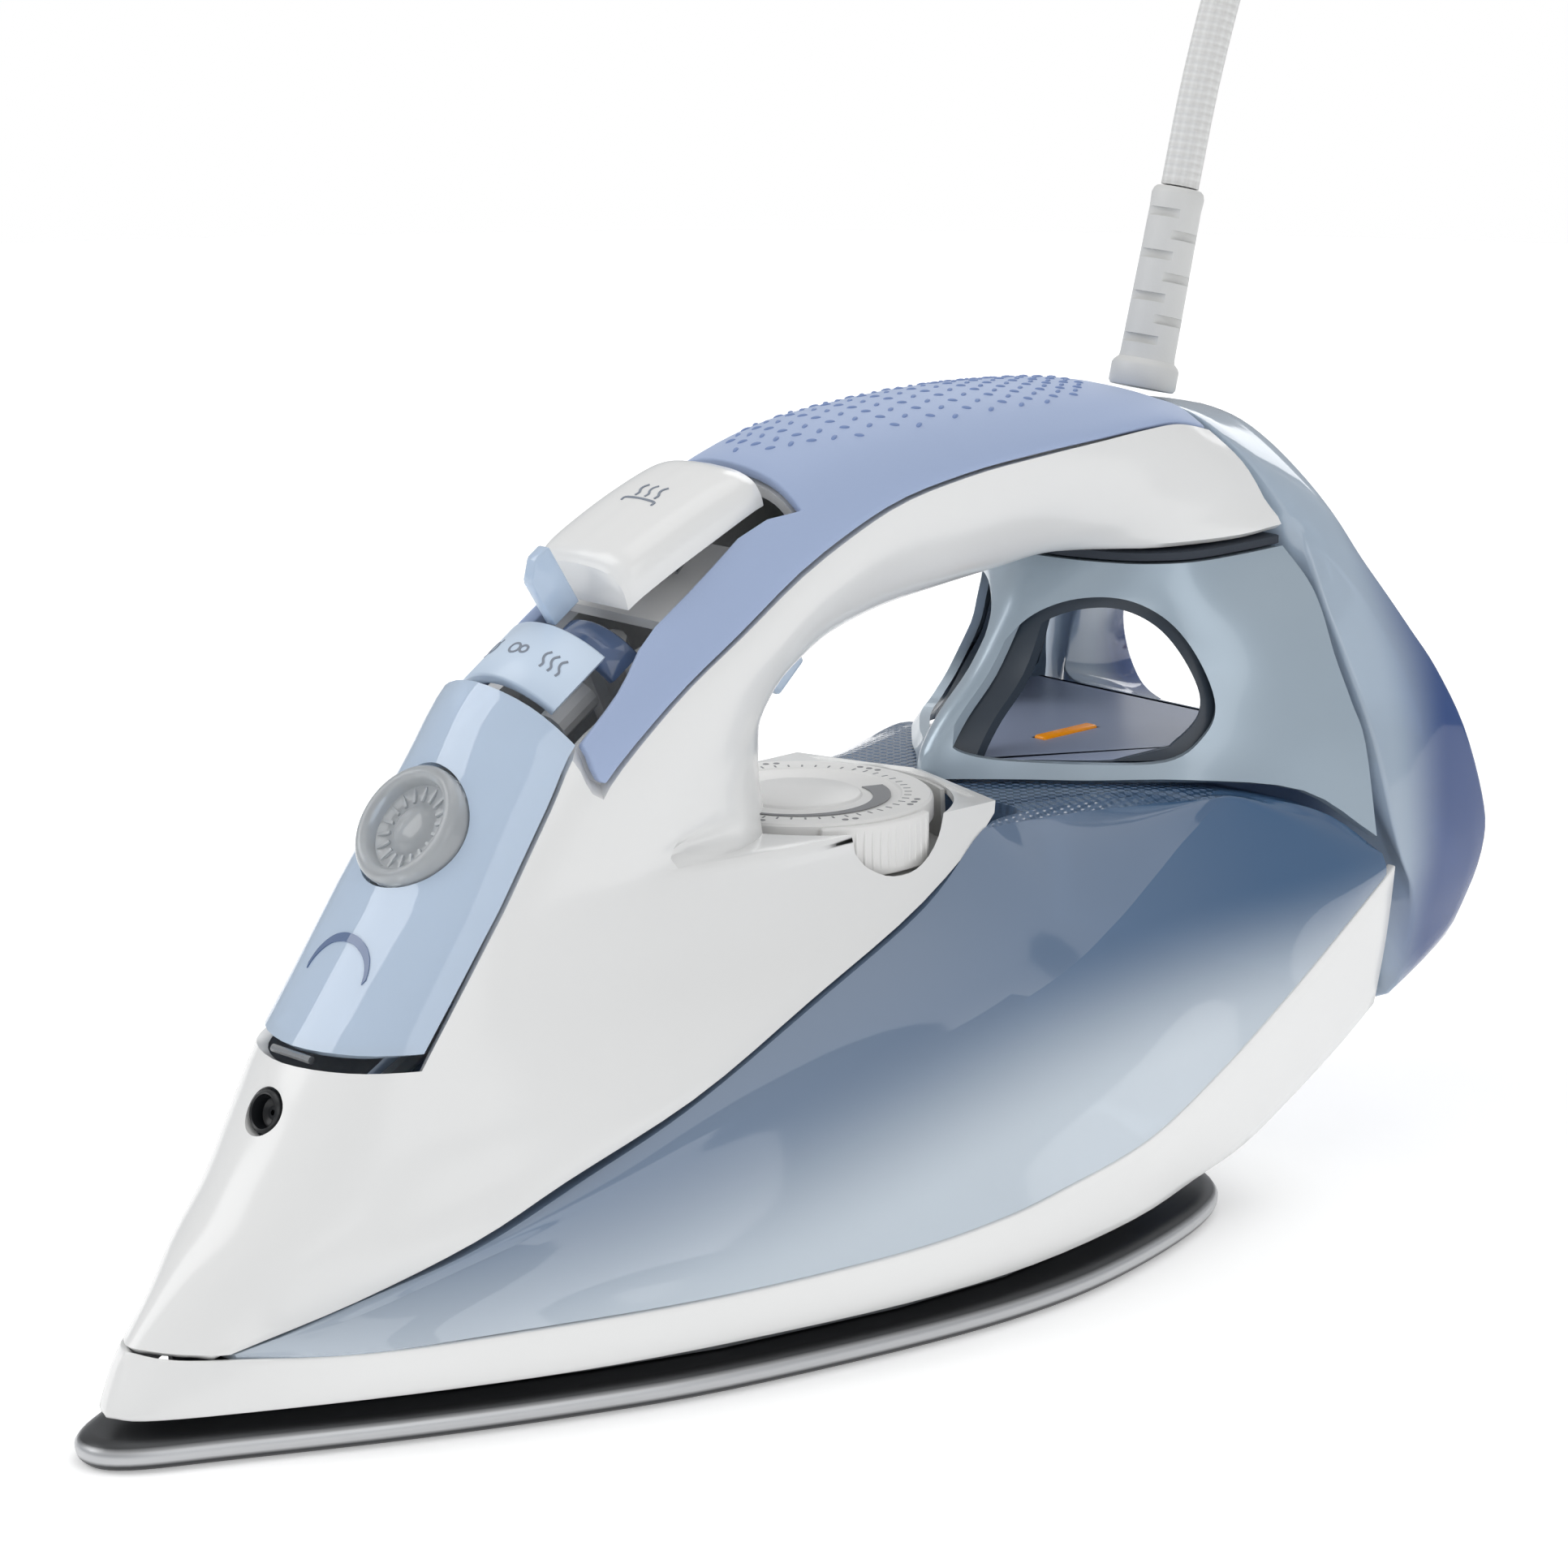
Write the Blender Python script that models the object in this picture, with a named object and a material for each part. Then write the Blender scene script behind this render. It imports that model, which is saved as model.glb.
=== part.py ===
"""Steam iron: soleplate, clear tank, housing with loop handle, dial, selector, open heel and a coiled mains lead.

Figures are in millimetres and are turned into metres by place(). A point is (x, s, z): x is measured across,
s from the tip of the soleplate towards the heel, and z up from the ironed surface.
"""
import math

import bmesh
import bpy
import numpy as np
from mathutils import Matrix, Vector

MM = 0.001
LENGTH = 298.0  # tip of the soleplate to the back of the heel
GAP = 0.3  # between pieces that touch

# Soleplate and its steam chamber
SOLE_THICK = 5.0
SOLE_HALF = [(0, 0), (7, 4), (15, 19), (28, 45), (39, 71), (48, 98), (56, 139), (58, 168),
             (55, 193), (48, 218), (39, 232), (22, 239.5)]
SOLE_END = (0, 240)
VENT_RADIUS = 1.6
VENTS = [(9, 38), (16, 58), (23, 80), (30, 104), (36, 132), (38, 160), (0, 30), (7, 72), (12, 104)]
CHAMBER_TOP = 14.0
ELEMENT_RADIUS = 3.2
ELEMENT_Z = 12.3
LID_Z = (16.0, 17.4)

# Heat shield: lower and upper edge, from the nose to the heel
SHIELD_LOW = [(0, 4.5, 7.8), (6, 8, 7.8), (14, 21, 7.8), (27, 47, 7.8), (38, 74, 7.8), (46, 100, 8),
              (53, 135, 8), (55, 165, 8.2), (52, 195, 8.8), (46, 218, 9.5), (42, 236, 11),
              (41.5, 250, 17), (42, 263, 24.5), (42, 273.5, 31)]
SHIELD_HIGH = [(0, 9, 18), (6, 12.5, 17.3), (12, 20, 16.8), (26, 39, 16.7), (37, 65, 17),
               (48, 96, 17.6), (57, 128, 19.3), (59.8, 150, 20.8), (59.8, 167, 22.6), (59.3, 190, 26.4),
               (56.5, 213, 34), (54, 232, 42), (51.5, 248, 49), (47, 272.5, 59.5)]
SHIELD_THICK = 2.2

# Tank: lines along its side from bottom to top, each a list from the nose to the heel
TANK_S = [29, 36, 46, 60, 78, 100, 124, 150, 172, 183, 189.6, 191, 200, 214, 228, 242, 257, 268.8]
CREASE = [(14.5, 26, 18.5), (20, 40, 21), (28.5, 60, 28), (35.5, 80, 34.3), (41, 101, 39.3),
          (47.5, 134, 46.6), (50, 173, 57), (49.5, 190, 64), (47.5, 203, 70), (44, 217, 75.2),
          (42, 230, 78.5), (45.5, 242, 72), (48.5, 256, 63), (47, 271, 60.8)]
RIM = [(13.5, 26, 18.6), (18, 40, 23), (27.5, 60, 31), (31.5, 80, 39.2), (35, 101, 47.8), (34, 131, 59.5),
       (30, 162, 70), (27, 179, 80), (26, 187, 81.6), (28, 200, 81.6), (32, 213, 81.6), (38.5, 228, 80.6),
       (41.6, 242, 77.8), (43.4, 257, 72.3), (46, 271, 62)]
DECK_Z = 81.4
TANK_THICK = 1.5

# Housing: half sections from the nose up the front leg, along the handle and down to the bowl.
# Each runs from the front or top centre, down one side, to the rear or bottom centre.
HOUSING = [
    [(0, 9.6, 18.6), (4, 11.6, 18.3), (7, 14.1, 18), (9.5, 16.9, 17.8), (11, 18.6, 17.7),
     (11.6, 19.7, 17.6), (12, 21, 17.5), (0, 21, 17.5)],
    [(0, 14.5, 24), (6, 18, 24), (11, 24, 23.6), (14.5, 30, 23.3), (17, 36, 23.2), (18.3, 39.5, 23.1),
     (19, 41.5, 23.1), (0, 41.5, 23.1)],
    [(0, 21, 31), (8, 24.5, 31), (14, 32, 31), (19, 41, 31), (23.5, 50, 31), (26, 56.5, 31),
     (27.3, 60, 31), (0, 60, 31)],
    [(0, 28.5, 38.4), (9.5, 32, 38.4), (17, 41, 38.4), (22.5, 51, 38.4), (27, 63, 38.4), (30, 72, 38.4),
     (31, 77, 38.4), (0, 77, 38.4)],
    [(0, 35.5, 48), (11, 39, 48), (19, 48.5, 48), (25, 61, 48), (30, 78, 48), (34, 94, 48),
     (35, 102, 48), (0, 102, 48)],
    [(0, 42.5, 59.5), (12, 46.5, 59.5), (19.5, 56, 59.5), (24.5, 70, 59.5), (29, 90, 59.5),
     (33, 117, 59.5), (34, 131, 59.5), (0, 131, 59.5)],
    [(0, 50.5, 70), (12.5, 54.5, 70), (19, 64, 70), (22.5, 78, 70), (25.5, 100, 70), (28.5, 138, 70),
     (30, 162, 70), (0, 162, 70)],
    [(0, 58.5, 80), (13, 62.5, 80), (19.5, 72, 80), (21.5, 86, 80), (23, 108, 80), (25.2, 148, 80),
     (26.2, 184, 81.6), (0, 190.5, 81.6)],
    [(0, 61.3, 83.6), (13, 65, 83.6), (19.5, 74, 83.6), (21.3, 88, 83.6), (22.6, 108, 83.6),
     (25, 150, 83.6), (25.5, 185, 83.6), (0, 192, 83.6)],
    [(0, 62, 84), (13, 66, 84), (19.5, 75, 84), (21, 89, 84), (21.5, 106, 84), (19.5, 128, 84),
     (11, 142, 84), (0, 146, 84)],
    [(0, 67.5, 92), (12, 71, 91.5), (18, 79, 90.5), (20.5, 91, 90), (21.5, 108, 90), (18.5, 128, 90.5),
     (10, 141.5, 91.5), (0, 144.5, 92)],
    [(0, 76.5, 105), (12, 79.5, 102), (18.5, 86, 97.5), (20.5, 94, 95), (21.5, 110, 96),
     (18, 130, 97.5), (9.5, 141.5, 98.5), (0, 144.3, 99)],
    [(0, 86, 118), (11, 88.5, 115), (18, 93, 108), (20.5, 97, 100.5), (21.5, 114, 101),
     (17.5, 132, 103), (9, 142.5, 104.5), (0, 146, 105)],
    [(0, 99.5, 125), (11, 102, 122.5), (18, 106.5, 116.5), (21, 111, 112), (21, 124, 110.5),
     (16.5, 138, 109.5), (8.5, 146.5, 109.5), (0, 150, 109.5)],
    [(0, 117, 134.5), (10.5, 119.5, 132), (17.5, 123, 127), (21, 127, 121.5), (20.5, 136, 118),
     (15.5, 146, 114.5), (8, 153, 112.5), (0, 156, 112.5)],
    [(0, 142, 147.5), (10.5, 143.4, 145.6), (17, 145, 140.6), (20.5, 147.5, 132.5), (19.5, 152, 126),
     (14, 158.5, 119.3), (7.5, 163.2, 116), (0, 165.2, 115.7)],
    [(0, 157, 151.5), (10.5, 158, 149.8), (17, 160, 145), (20.5, 163, 138.5), (19, 166.5, 131),
     (13.5, 171, 122.5), (7, 174.5, 118), (0, 176, 117.2)],
    [(0, 178, 153.6), (10.5, 178.5, 152), (17.5, 180, 147.5), (20.8, 182, 142), (19, 184, 133),
     (13.5, 187, 124), (7, 189, 119.5), (0, 189.5, 118.8)],
    [(0, 200, 154), (10.5, 200.3, 152.5), (17.5, 201, 148.5), (21, 202, 143.5), (19.5, 203, 134.5),
     (14, 204, 125.5), (7.5, 205, 121), (0, 205, 120.3)],
    [(0, 216, 153.2), (10.5, 216.2, 151.8), (17.5, 216.5, 148.3), (21.2, 217, 144.3), (21, 217, 136),
     (17, 216, 127.5), (10, 215, 122.5), (0, 214.5, 121.6)],
    [(0, 227, 152.2), (10, 227.2, 151), (17.5, 228, 148.3), (21.5, 228, 145), (23, 227, 137),
     (21.5, 225, 129), (14, 223, 122.6), (0, 221, 122)],
    [(0, 234, 151), (9.5, 234, 150), (16.5, 235, 148), (21, 236, 145), (24.5, 236, 137),
     (25.5, 235, 129), (21.5, 232, 122.6), (0, 233, 122.2)],
    [(0, 240, 149.5), (8.5, 240, 149), (15, 241, 147.3), (20, 242, 144), (24.5, 244, 137),
     (26.5, 246, 129), (25.5, 248, 122.6), (0, 248, 122.2)],
    [(0, 245, 148), (7.5, 245.5, 147.3), (13, 247, 146), (18, 249.5, 142), (22.5, 254, 136),
     (25, 257.5, 129), (25.5, 260.5, 123), (0, 260.5, 122.6)],
]
DOOR_ROWS = (5, 12)  # sections between which the filling door lies
GRIP_ROWS = (12, 23)  # sections between which the grip lies
POCKET_END = 15  # section at which the control pocket ends
DECK_ROW = 9  # first section of the leg above the deck
HOUSING_THICK = 2.2
GRIP_THICK = 2.2
COL_STEPS = 2  # finer columns round each section
DOOR_COLUMN = 4  # the door and the pocket reach this many columns from the centre
GRIP_COLUMN = 6  # the grip reaches this many

# Door
DOOR_THICK = 1.8
DOOR_HINGE = (0, 44.6, 60.6)
KNOB_CENTRE = (0, 70.6, 94.5)
KNOB_AXIS = (0, -0.81, 0.586)
KNOB_RADIUS = 11.0

# Selector, button and trigger
SELECTOR_AXIS = (0, 0.84, 0.5426)
SELECTOR_START = (0, 97.5, 103.2)
SELECTOR_RADIUS = 16.6
SELECTOR_LENGTH = 14.5
TRAY_LENGTH = 7.2
BUTTON_TRAVEL_AXIS = (0, 0.325, -0.9457)
NOZZLE_CENTRE = (0, 38.6, 52.0)
NOZZLE_AXIS = (0, -0.95, 0.312)

# Dial
DIAL_S = 161.0
DIAL_RADIUS = 24.0
DIAL_Z = (80.6, 84.8)
WELL_RADIUS = 27.6
WELL_FLOOR = 73.0

# Rear column: half sections from its lower edge up, each from the front ridge to the back
COLUMN = [
    [(0, 191.5, 82), (6, 197, 82), (13.8, 204.7, 82), (22.8, 212.7, 82), (35, 227, 81.8), (42.6, 250, 77.2),
     (45.4, 268.5, 65.6)],
    [(0, 193, 87), (5.8, 198.5, 87), (13.2, 207.3, 87), (21.8, 215.7, 87), (33.4, 230.1, 87), (41, 250, 86),
     (42, 268.5, 83)],
    [(0, 198, 93), (5, 202, 93), (12, 211, 93), (20.9, 220.1, 93), (32.1, 232.9, 93), (39, 250, 92.5),
     (40, 266.5, 91)],
    [(0, 206, 100), (4.6, 209, 100), (11, 217, 100), (20.4, 226.1, 100), (30.6, 236.9, 100), (36.5, 250, 100),
     (37.2, 264.5, 100)],
    [(0, 212.5, 108), (5, 214.6, 108), (11.4, 220.6, 108), (20.1, 228.4, 108), (28.3, 237.2, 108),
     (33.3, 250, 108), (33.8, 264.5, 108)],
    [(0, 216.5, 113.5), (6, 218, 113.5), (12.6, 222.4, 113.5), (19.9, 228.6, 113.5), (26.5, 237, 113.5),
     (30, 250, 113.5), (30.6, 264, 113.5)],
    [(0, 222, 119.6), (7.5, 223.3, 119.6), (14.5, 226, 119.6), (20.5, 230, 119.6), (25.3, 238, 119.6),
     (26.4, 250, 119.6), (26.3, 261.6, 119.6)],
]
COLUMN_THICK = 1.7
LINER_THICK = 1.4
# Side window of the column, seen along the diagonal: (distance along the wall, z)
WINDOW = [(141.5, 88.6), (149, 87.2), (163, 86.2), (180.5, 85.6), (187.5, 88.6), (190, 94), (187, 102),
          (181.4, 109), (173.5, 113), (164.5, 113), (156.5, 110), (150.5, 104.5), (145, 97), (141.8, 91.5)]
PAD_TOP = 84.2

# Heel cover: four loops, each half from the top centre to the bottom centre
HEEL_FRONT = [(0, 249, 146.5), (7.5, 249.3, 145.8), (13, 250.3, 144.5), (18.5, 253, 140.5),
              (23, 257.3, 134.5), (26, 261.5, 127.5), (28, 265.5, 120), (33, 266.3, 108.5),
              (38, 267, 98.5), (43, 270.2, 83), (46.6, 273.8, 62), (46, 279, 52), (44.3, 280.5, 42),
              (42.3, 276.5, 32), (28, 276.6, 30.6), (0, 277.5, 30)]
HEEL_BACK = [(0, 266, 143.2), (8, 268.5, 141.3), (14, 271.5, 137), (21, 274, 130.5), (27, 276.2, 123.5),
             (32, 278.7, 115.5), (37, 280.5, 109), (41.5, 282.5, 102.5), (45.7, 285, 95.5),
             (49.3, 289.5, 84), (50.3, 294.5, 70), (49.3, 296.8, 61), (46, 296.5, 50), (41.5, 292.5, 39),
             (28, 288.5, 32), (0, 288.5, 31)]
HEEL_WINDOW = [(0, 277.5, 116.5), (8, 277.6, 116.3), (14, 278, 115.2), (19, 278.5, 113.3),
               (23, 279.3, 110.5), (26.5, 280.3, 107), (29.5, 281.8, 102.5), (32, 283.3, 98),
               (34, 285, 93), (35, 287, 88), (35, 289, 83), (33.5, 290.8, 78.5), (29, 291.5, 76),
               (22, 291.7, 75), (12, 291.9, 74.6), (0, 292, 74.5)]
HEEL_INSIDE = [(0, 265.5, 116.3), (6, 265.5, 116), (11, 265.5, 115.3), (15.5, 265.5, 114),
               (19.5, 265.8, 112), (23, 266, 109.2), (26, 266.2, 105.5), (28.5, 266.5, 101.5),
               (31, 267, 97), (33, 267.5, 92.5), (33.8, 267.5, 88.5), (33.3, 266.5, 85.6),
               (29, 265, 84.2), (22, 264.3, 84.2), (12, 264.2, 84.2), (0, 264.2, 84.2)]

# Mains lead
BUSH_BASE = (0, 250.6, 147.6)
BUSH_AXIS = (0, 0.2555, 0.9668)
BUSH_LENGTH = 38.0
BUSH_RADIUS = 5.2
CORD_RADIUS = 3.6
CORD_ROUTE = [(0, 260.9, 186.6), (0.2, 266.5, 207), (0.8, 275, 230), (2, 289, 254), (4, 310, 275),
              (6.5, 337, 285), (9, 364, 279), (11.5, 386, 262), (13.5, 400, 238), (14.5, 407, 208),
              (15, 410, 170), (13, 410, 130), (9, 410, 97), (1, 412.5, 68), (-11, 419.5, 45),
              (-23, 431, 32), (-33.5, 445.5, 27.5), (-39.5, 458, 26.6)]
COIL_CENTRE = (10, 467)
COIL_MIDDLE = 37.0
COIL_WIDE = 22.5
COIL_TALL = 22.6
PLUG_Z = 36.5


def place(point):
    """Turns (x, s, z) in millimetres into a vector in metres, with the origin under the middle."""
    x, s, z = point
    return Vector((x * MM, (s - LENGTH / 2) * MM, z * MM))


def direction(vector):
    return Vector(vector).normalized()


def clear_scene():
    for thing in list(bpy.data.objects):
        bpy.data.objects.remove(thing, do_unlink=True)


def surface(name, colour, roughness, metallic=0.0):
    """A plain shader with this object's own colour."""
    material = bpy.data.materials.new(name + "_surface")
    material.use_nodes = True
    shader = material.node_tree.nodes["Principled BSDF"]
    shader.inputs["Base Color"].default_value = (*colour, 1)
    shader.inputs["Roughness"].default_value = roughness
    shader.inputs["Metallic"].default_value = metallic
    return material


WHITE = ((0.80, 0.81, 0.82), 0.30, 0)
SOFT_BLUE = ((0.45, 0.54, 0.70), 0.60, 0)
CLEAR_BLUE = ((0.40, 0.57, 0.85), 0.10, 0)
TANK_BLUE = ((0.16, 0.27, 0.38), 0.12, 0)
SILVER_BLUE = ((0.55, 0.63, 0.68), 0.22, 0.3)
DARK = ((0.05, 0.07, 0.10), 0.40, 0)
HEEL_BLUE = ((0.28, 0.42, 0.62), 0.12, 0)
STEEL = ((0.60, 0.60, 0.61), 0.25, 1)
CAST = ((0.45, 0.46, 0.47), 0.50, 1)
GLASSY = ((0.75, 0.77, 0.78), 0.05, 0)
BRASS = ((0.70, 0.55, 0.25), 0.35, 1)
RUBBER = ((0.62, 0.63, 0.64), 0.70, 0)
BOARD = ((0.05, 0.22, 0.10), 0.50, 0)
AMBER = ((0.95, 0.45, 0.04), 0.30, 0)
LEAD = ((0.78, 0.79, 0.80), 0.65, 0)


def build(name, points, faces, finish, pivot=(0, LENGTH / 2, 0)):
    """Makes one closed object from points in (x, s, z), with its origin at pivot."""
    mesh = bpy.data.meshes.new(name)
    origin = place(pivot)
    mesh.from_pydata([place(p) - origin for p in points], [], faces)
    work = bmesh.new()
    work.from_mesh(mesh)
    bmesh.ops.remove_doubles(work, verts=work.verts, dist=1e-6)
    bmesh.ops.recalc_face_normals(work, faces=work.faces)
    work.to_mesh(mesh)
    work.free()
    made = bpy.data.objects.new(name, mesh)
    made.location = origin
    bpy.context.scene.collection.objects.link(made)
    made.data.materials.append(surface(name, *finish))
    return made


def curve_through(values, steps):
    """Catmull-Rom curve through the rows of values, with this many steps between two rows."""
    values = np.asarray(values, float)
    before = 2 * values[0] - values[1]
    after = 2 * values[-1] - values[-2]
    padded = np.concatenate([[before], values, [after]])
    found = []
    for a, b, c, d in zip(padded, padded[1:], padded[2:], padded[3:], strict=False):
        for step in range(steps):
            t = step / steps
            found.append(b + 0.5 * t * (c - a + t * (2 * a - 5 * b + 4 * c - d + t * (3 * (b - c) + d - a))))
    return np.array([*found, values[-1]])


def mirrored(half):
    """A row from one side over the centre to the other, from a half row that starts at the centre."""
    half = np.asarray(half, float)
    return np.concatenate([half[:0:-1] * (-1, 1, 1), half])


def loop_of(half):
    """A closed row from a half row whose first and last points are at the centre."""
    half = np.asarray(half, float)
    return np.concatenate([half, half[-2:0:-1] * (-1, 1, 1)])


def fine_half(half, steps):
    """A half row with more points, kept smooth where it crosses the centre."""
    half = np.asarray(half, float)
    flip = np.array((-1, 1, 1))
    whole = np.concatenate([[half[1] * flip], half, [half[-2] * flip]])
    return curve_through(whole, steps)[steps:-steps]


def cells(rows, columns, closed=False):
    """The quads of a grid, as (row, column, corners)."""
    last = columns if closed else columns - 1
    for row in range(rows - 1):
        for column in range(last):
            across = (column + 1) % columns
            low = row * columns
            high = low + columns
            yield row, column, (low + column, low + across, high + across, high + column)


def double_skin(name, outer, inner, faces, finish, pivot=(0, LENGTH / 2, 0)):
    """A closed shell: the faces on the outer points, the same on the inner points, and the rims between."""
    count = len(outer)
    sides = {}
    for face in faces:
        for a, b in zip(face, face[1:] + face[:1], strict=True):
            sides[a, b] = True
    rims = [(b, a, a + count, b + count) for a, b in sides if (b, a) not in sides]
    inside = [tuple(corner + count for corner in face[::-1]) for face in faces]
    return build(name, [*outer, *inner], [*faces, *inside, *rims], finish, pivot)


def flat(rows):
    """The points of a grid as one list."""
    return [point for row in rows for point in row]


def loft(name, rings, finish, pivot=(0, LENGTH / 2, 0)):
    """A solid through closed rings of equal length, with flat ends."""
    count = len(rings[0])
    points = [p for ring in rings for p in ring]
    faces = [corners for _, _, corners in cells(len(rings), count, closed=True)]
    faces.append(tuple(range(count))[::-1])
    faces.append(tuple(range(len(points) - count, len(points))))
    return build(name, points, faces, finish, pivot)


def frame_for(axis):
    """Two directions square to the axis; the first lies across the iron where it can."""
    axis = direction(axis)
    side = Vector((1, 0, 0)) if abs(axis.x) < 0.9 else Vector((0, 1, 0))
    side = (side - axis * side.dot(axis)).normalized()
    return side, axis.cross(side), axis


def turned(name, start, axis, profile, finish, sides=24, pivot=None, bore=0.0):
    """A turned piece: profile holds (radius, height along the axis), and a bore makes it a sleeve."""
    side, other, along = frame_for(axis)
    start = Vector(start)
    rings = []
    for radius, height in profile:
        ring = []
        for step in range(sides):
            turn = math.tau * step / sides
            ring.append(start + along * height + (side * math.cos(turn) + other * math.sin(turn)) * radius)
        rings.append(ring)
    if not bore:
        return loft(name, rings, finish, pivot or start)
    for height in (profile[-1][1], profile[0][1]):
        ring = []
        for step in range(sides):
            turn = math.tau * step / sides
            ring.append(start + along * height + (side * math.cos(turn) + other * math.sin(turn)) * bore)
        rings.append(ring)
    rings.append(rings[0])
    points = [p for ring in rings for p in ring]
    faces = [corners for _, _, corners in cells(len(rings), sides, closed=True)]
    return build(name, points, faces, finish, pivot or start)


def rod(name, start, end, radius, finish, sides=12, pivot=None):
    span = Vector(end) - Vector(start)
    return turned(name, start, span, [(radius, 0), (radius, span.length)], finish, sides, pivot)


def block(name, centre, size, finish, bevel=0.6, turn=0.0, pivot=None):
    """A bevelled box; turn tips it about the axis that runs across the iron."""
    half = [v / 2 for v in size]
    tip = Matrix.Rotation(turn, 3, "X")
    corners = [tip @ Vector((x * half[0], y * half[1], z * half[2])) + Vector(centre)
               for z in (-1, 1) for x, y in ((-1, -1), (1, -1), (1, 1), (-1, 1))]
    made = loft(name, [corners[:4], corners[4:]], finish, pivot or centre)
    edge = made.modifiers.new("edges", "BEVEL")
    edge.width = bevel * MM
    edge.segments = 2
    return made


def plate(name, outline, low, high, finish, pivot=(0, LENGTH / 2, 0)):
    """A flat plate with this outline of (x, s)."""
    return loft(name, [[(x, s, z) for x, s in outline] for z in (low, high)], finish, pivot)


def tube(name, route, radius, finish, roundness=2):
    """A round lead along a smooth curve through the route's points."""
    curve = bpy.data.curves.new(name, "CURVE")
    curve.dimensions = "3D"
    curve.bevel_depth = radius * MM
    curve.bevel_resolution = roundness
    curve.use_fill_caps = True
    line = curve.splines.new("POLY")
    line.points.add(len(route) - 1)
    for point, spot in zip(line.points, route, strict=True):
        point.co = (*place(spot), 1)
    made = bpy.data.objects.new(name, curve)
    bpy.context.scene.collection.objects.link(made)
    made.data.materials.append(surface(name, *finish))
    return made


def spaced(points, gap):
    """Points about this far apart along a smooth curve through the given ones."""
    fine = curve_through(points, 24)
    run = np.concatenate([[0], np.cumsum(np.linalg.norm(np.diff(fine, axis=0), axis=1))])
    count = max(2, round(run[-1] / gap) + 1)
    wanted = np.linspace(0, run[-1], count)
    return np.stack([np.interp(wanted, run, fine[:, k]) for k in range(3)], 1)


def cut(target, cutter):
    """Takes the cutter out of the target, and hides the cutter."""
    cutter.hide_render = True
    cutter.display_type = "WIRE"
    opening = target.modifiers.new(cutter.name, "BOOLEAN")
    opening.operation = "DIFFERENCE"
    opening.object = cutter


def along_line(line, stations):
    """(x, z) of a line of (x, s, z) points at each of these distances from the tip."""
    fine = curve_through(line, 6)
    return [(np.interp(s, fine[:, 1], fine[:, 0]), np.interp(s, fine[:, 1], fine[:, 2])) for s in stations]


def sole_outline(inset, steps=2):
    """The soleplate's outline, moved inwards."""
    half = fine_half([(*p, 0) for p in [*SOLE_HALF, SOLE_END]], steps)
    ring = loop_of(half)[:, :2]
    ahead = np.roll(ring, -1, 0) - np.roll(ring, 1, 0)
    ahead /= np.linalg.norm(ahead, axis=1)[:, None]
    inward = np.stack([-ahead[:, 1], ahead[:, 0]], 1)
    centre = np.array((0, 120))
    if ((centre - ring) * inward).sum() < 0:
        inward = -inward
    return ring + inward * inset


def scaled_outline(scale, around=(0, 132)):
    """The soleplate's outline, drawn in towards a point, for the pieces inside."""
    ring = sole_outline(0, 1)
    return (ring - around) * scale + around


def soleplate():
    levels = [(2.2, 0), (0.5, 0.7), (0, 2.2), (1.2, 3.6), (3.2, SOLE_THICK)]
    rings = [[(x, s, z) for x, s in sole_outline(inset)] for inset, z in levels]
    plate_body = loft("soleplate", rings, STEEL)
    holes = []
    for x, s in VENTS:
        holes += [(x, s)] if x == 0 else [(x, s), (-x, s)]
    points = []
    faces = []
    for x, s in holes:
        start = len(points)
        for z in (-1, SOLE_THICK + 1):
            for step in range(8):
                turn = math.tau * step / 8
                points.append((x + VENT_RADIUS * math.cos(turn), s + VENT_RADIUS * math.sin(turn), z))
        faces += [(start + a, start + (a + 1) % 8, start + 8 + (a + 1) % 8, start + 8 + a) for a in range(8)]
        faces += [tuple(range(start + 7, start - 1, -1)), tuple(range(start + 8, start + 16))]
    cut(plate_body, build("vent_cutter", points, faces, DARK))


def element_path(height):
    """The heating element's U, open towards the heel."""
    leg = [(22, 205, height), (27, 180, height), (28, 150, height), (23, 115, height), (14, 88, height),
           (0, 74, height)]
    return curve_through(mirrored(leg[::-1]), 3)


def steam_chamber():
    body = plate("steam_chamber", scaled_outline(0.86), SOLE_THICK + GAP, CHAMBER_TOP, CAST)
    route = [(p[0], p[1], p[2]) for p in element_path(ELEMENT_Z)]
    groove = sweep("groove_cutter", route, ELEMENT_RADIUS + 0.45, CAST)
    cut(body, groove)


def sweep(name, route, radius, finish, sides=10):
    """A round bar along a level route, made as a mesh so that it can cut."""
    route = [Vector(p) for p in route]
    rings = []
    for index, spot in enumerate(route):
        ahead = route[min(index + 1, len(route) - 1)] - route[max(index - 1, 0)]
        ahead.normalize()
        side = Vector((0, 0, 1)).cross(ahead).normalized()
        up = ahead.cross(side)
        ring = []
        for step in range(sides):
            turn = math.tau * step / sides
            ring.append(spot + (side * math.cos(turn) + up * math.sin(turn)) * radius)
        rings.append(ring)
    return loft(name, rings, finish)


def heater():
    route = element_path(ELEMENT_Z)[1:-1]
    sweep("heating_element", route, ELEMENT_RADIUS, STEEL, 8)
    plate("chamber_lid", scaled_outline(0.62), *LID_Z, CAST)
    top = LID_Z[1] + GAP
    turned("thermostat", (0, DIAL_S, top), (0, 0, 1), [(9, 0), (9, 5), (4, 5), (4, 8)], BRASS, 16)
    block("thermal_fuse", (19, 168, top + 2.6), (6, 16, 5), GLASSY, 1.0)


def plan_outward(half):
    """For each point of a half row that starts at the front centre, the level direction out of the row."""
    half = np.asarray(half, float)
    ahead = np.gradient(half, axis=0)[:, :2]
    ahead /= np.linalg.norm(ahead, axis=1)[:, None]
    side = np.stack([ahead[:, 1], -ahead[:, 0], np.zeros(len(half))], 1)
    side[half[:, 0] == 0] *= (0, 1, 1)
    return side / np.linalg.norm(side, axis=1)[:, None]


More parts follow.
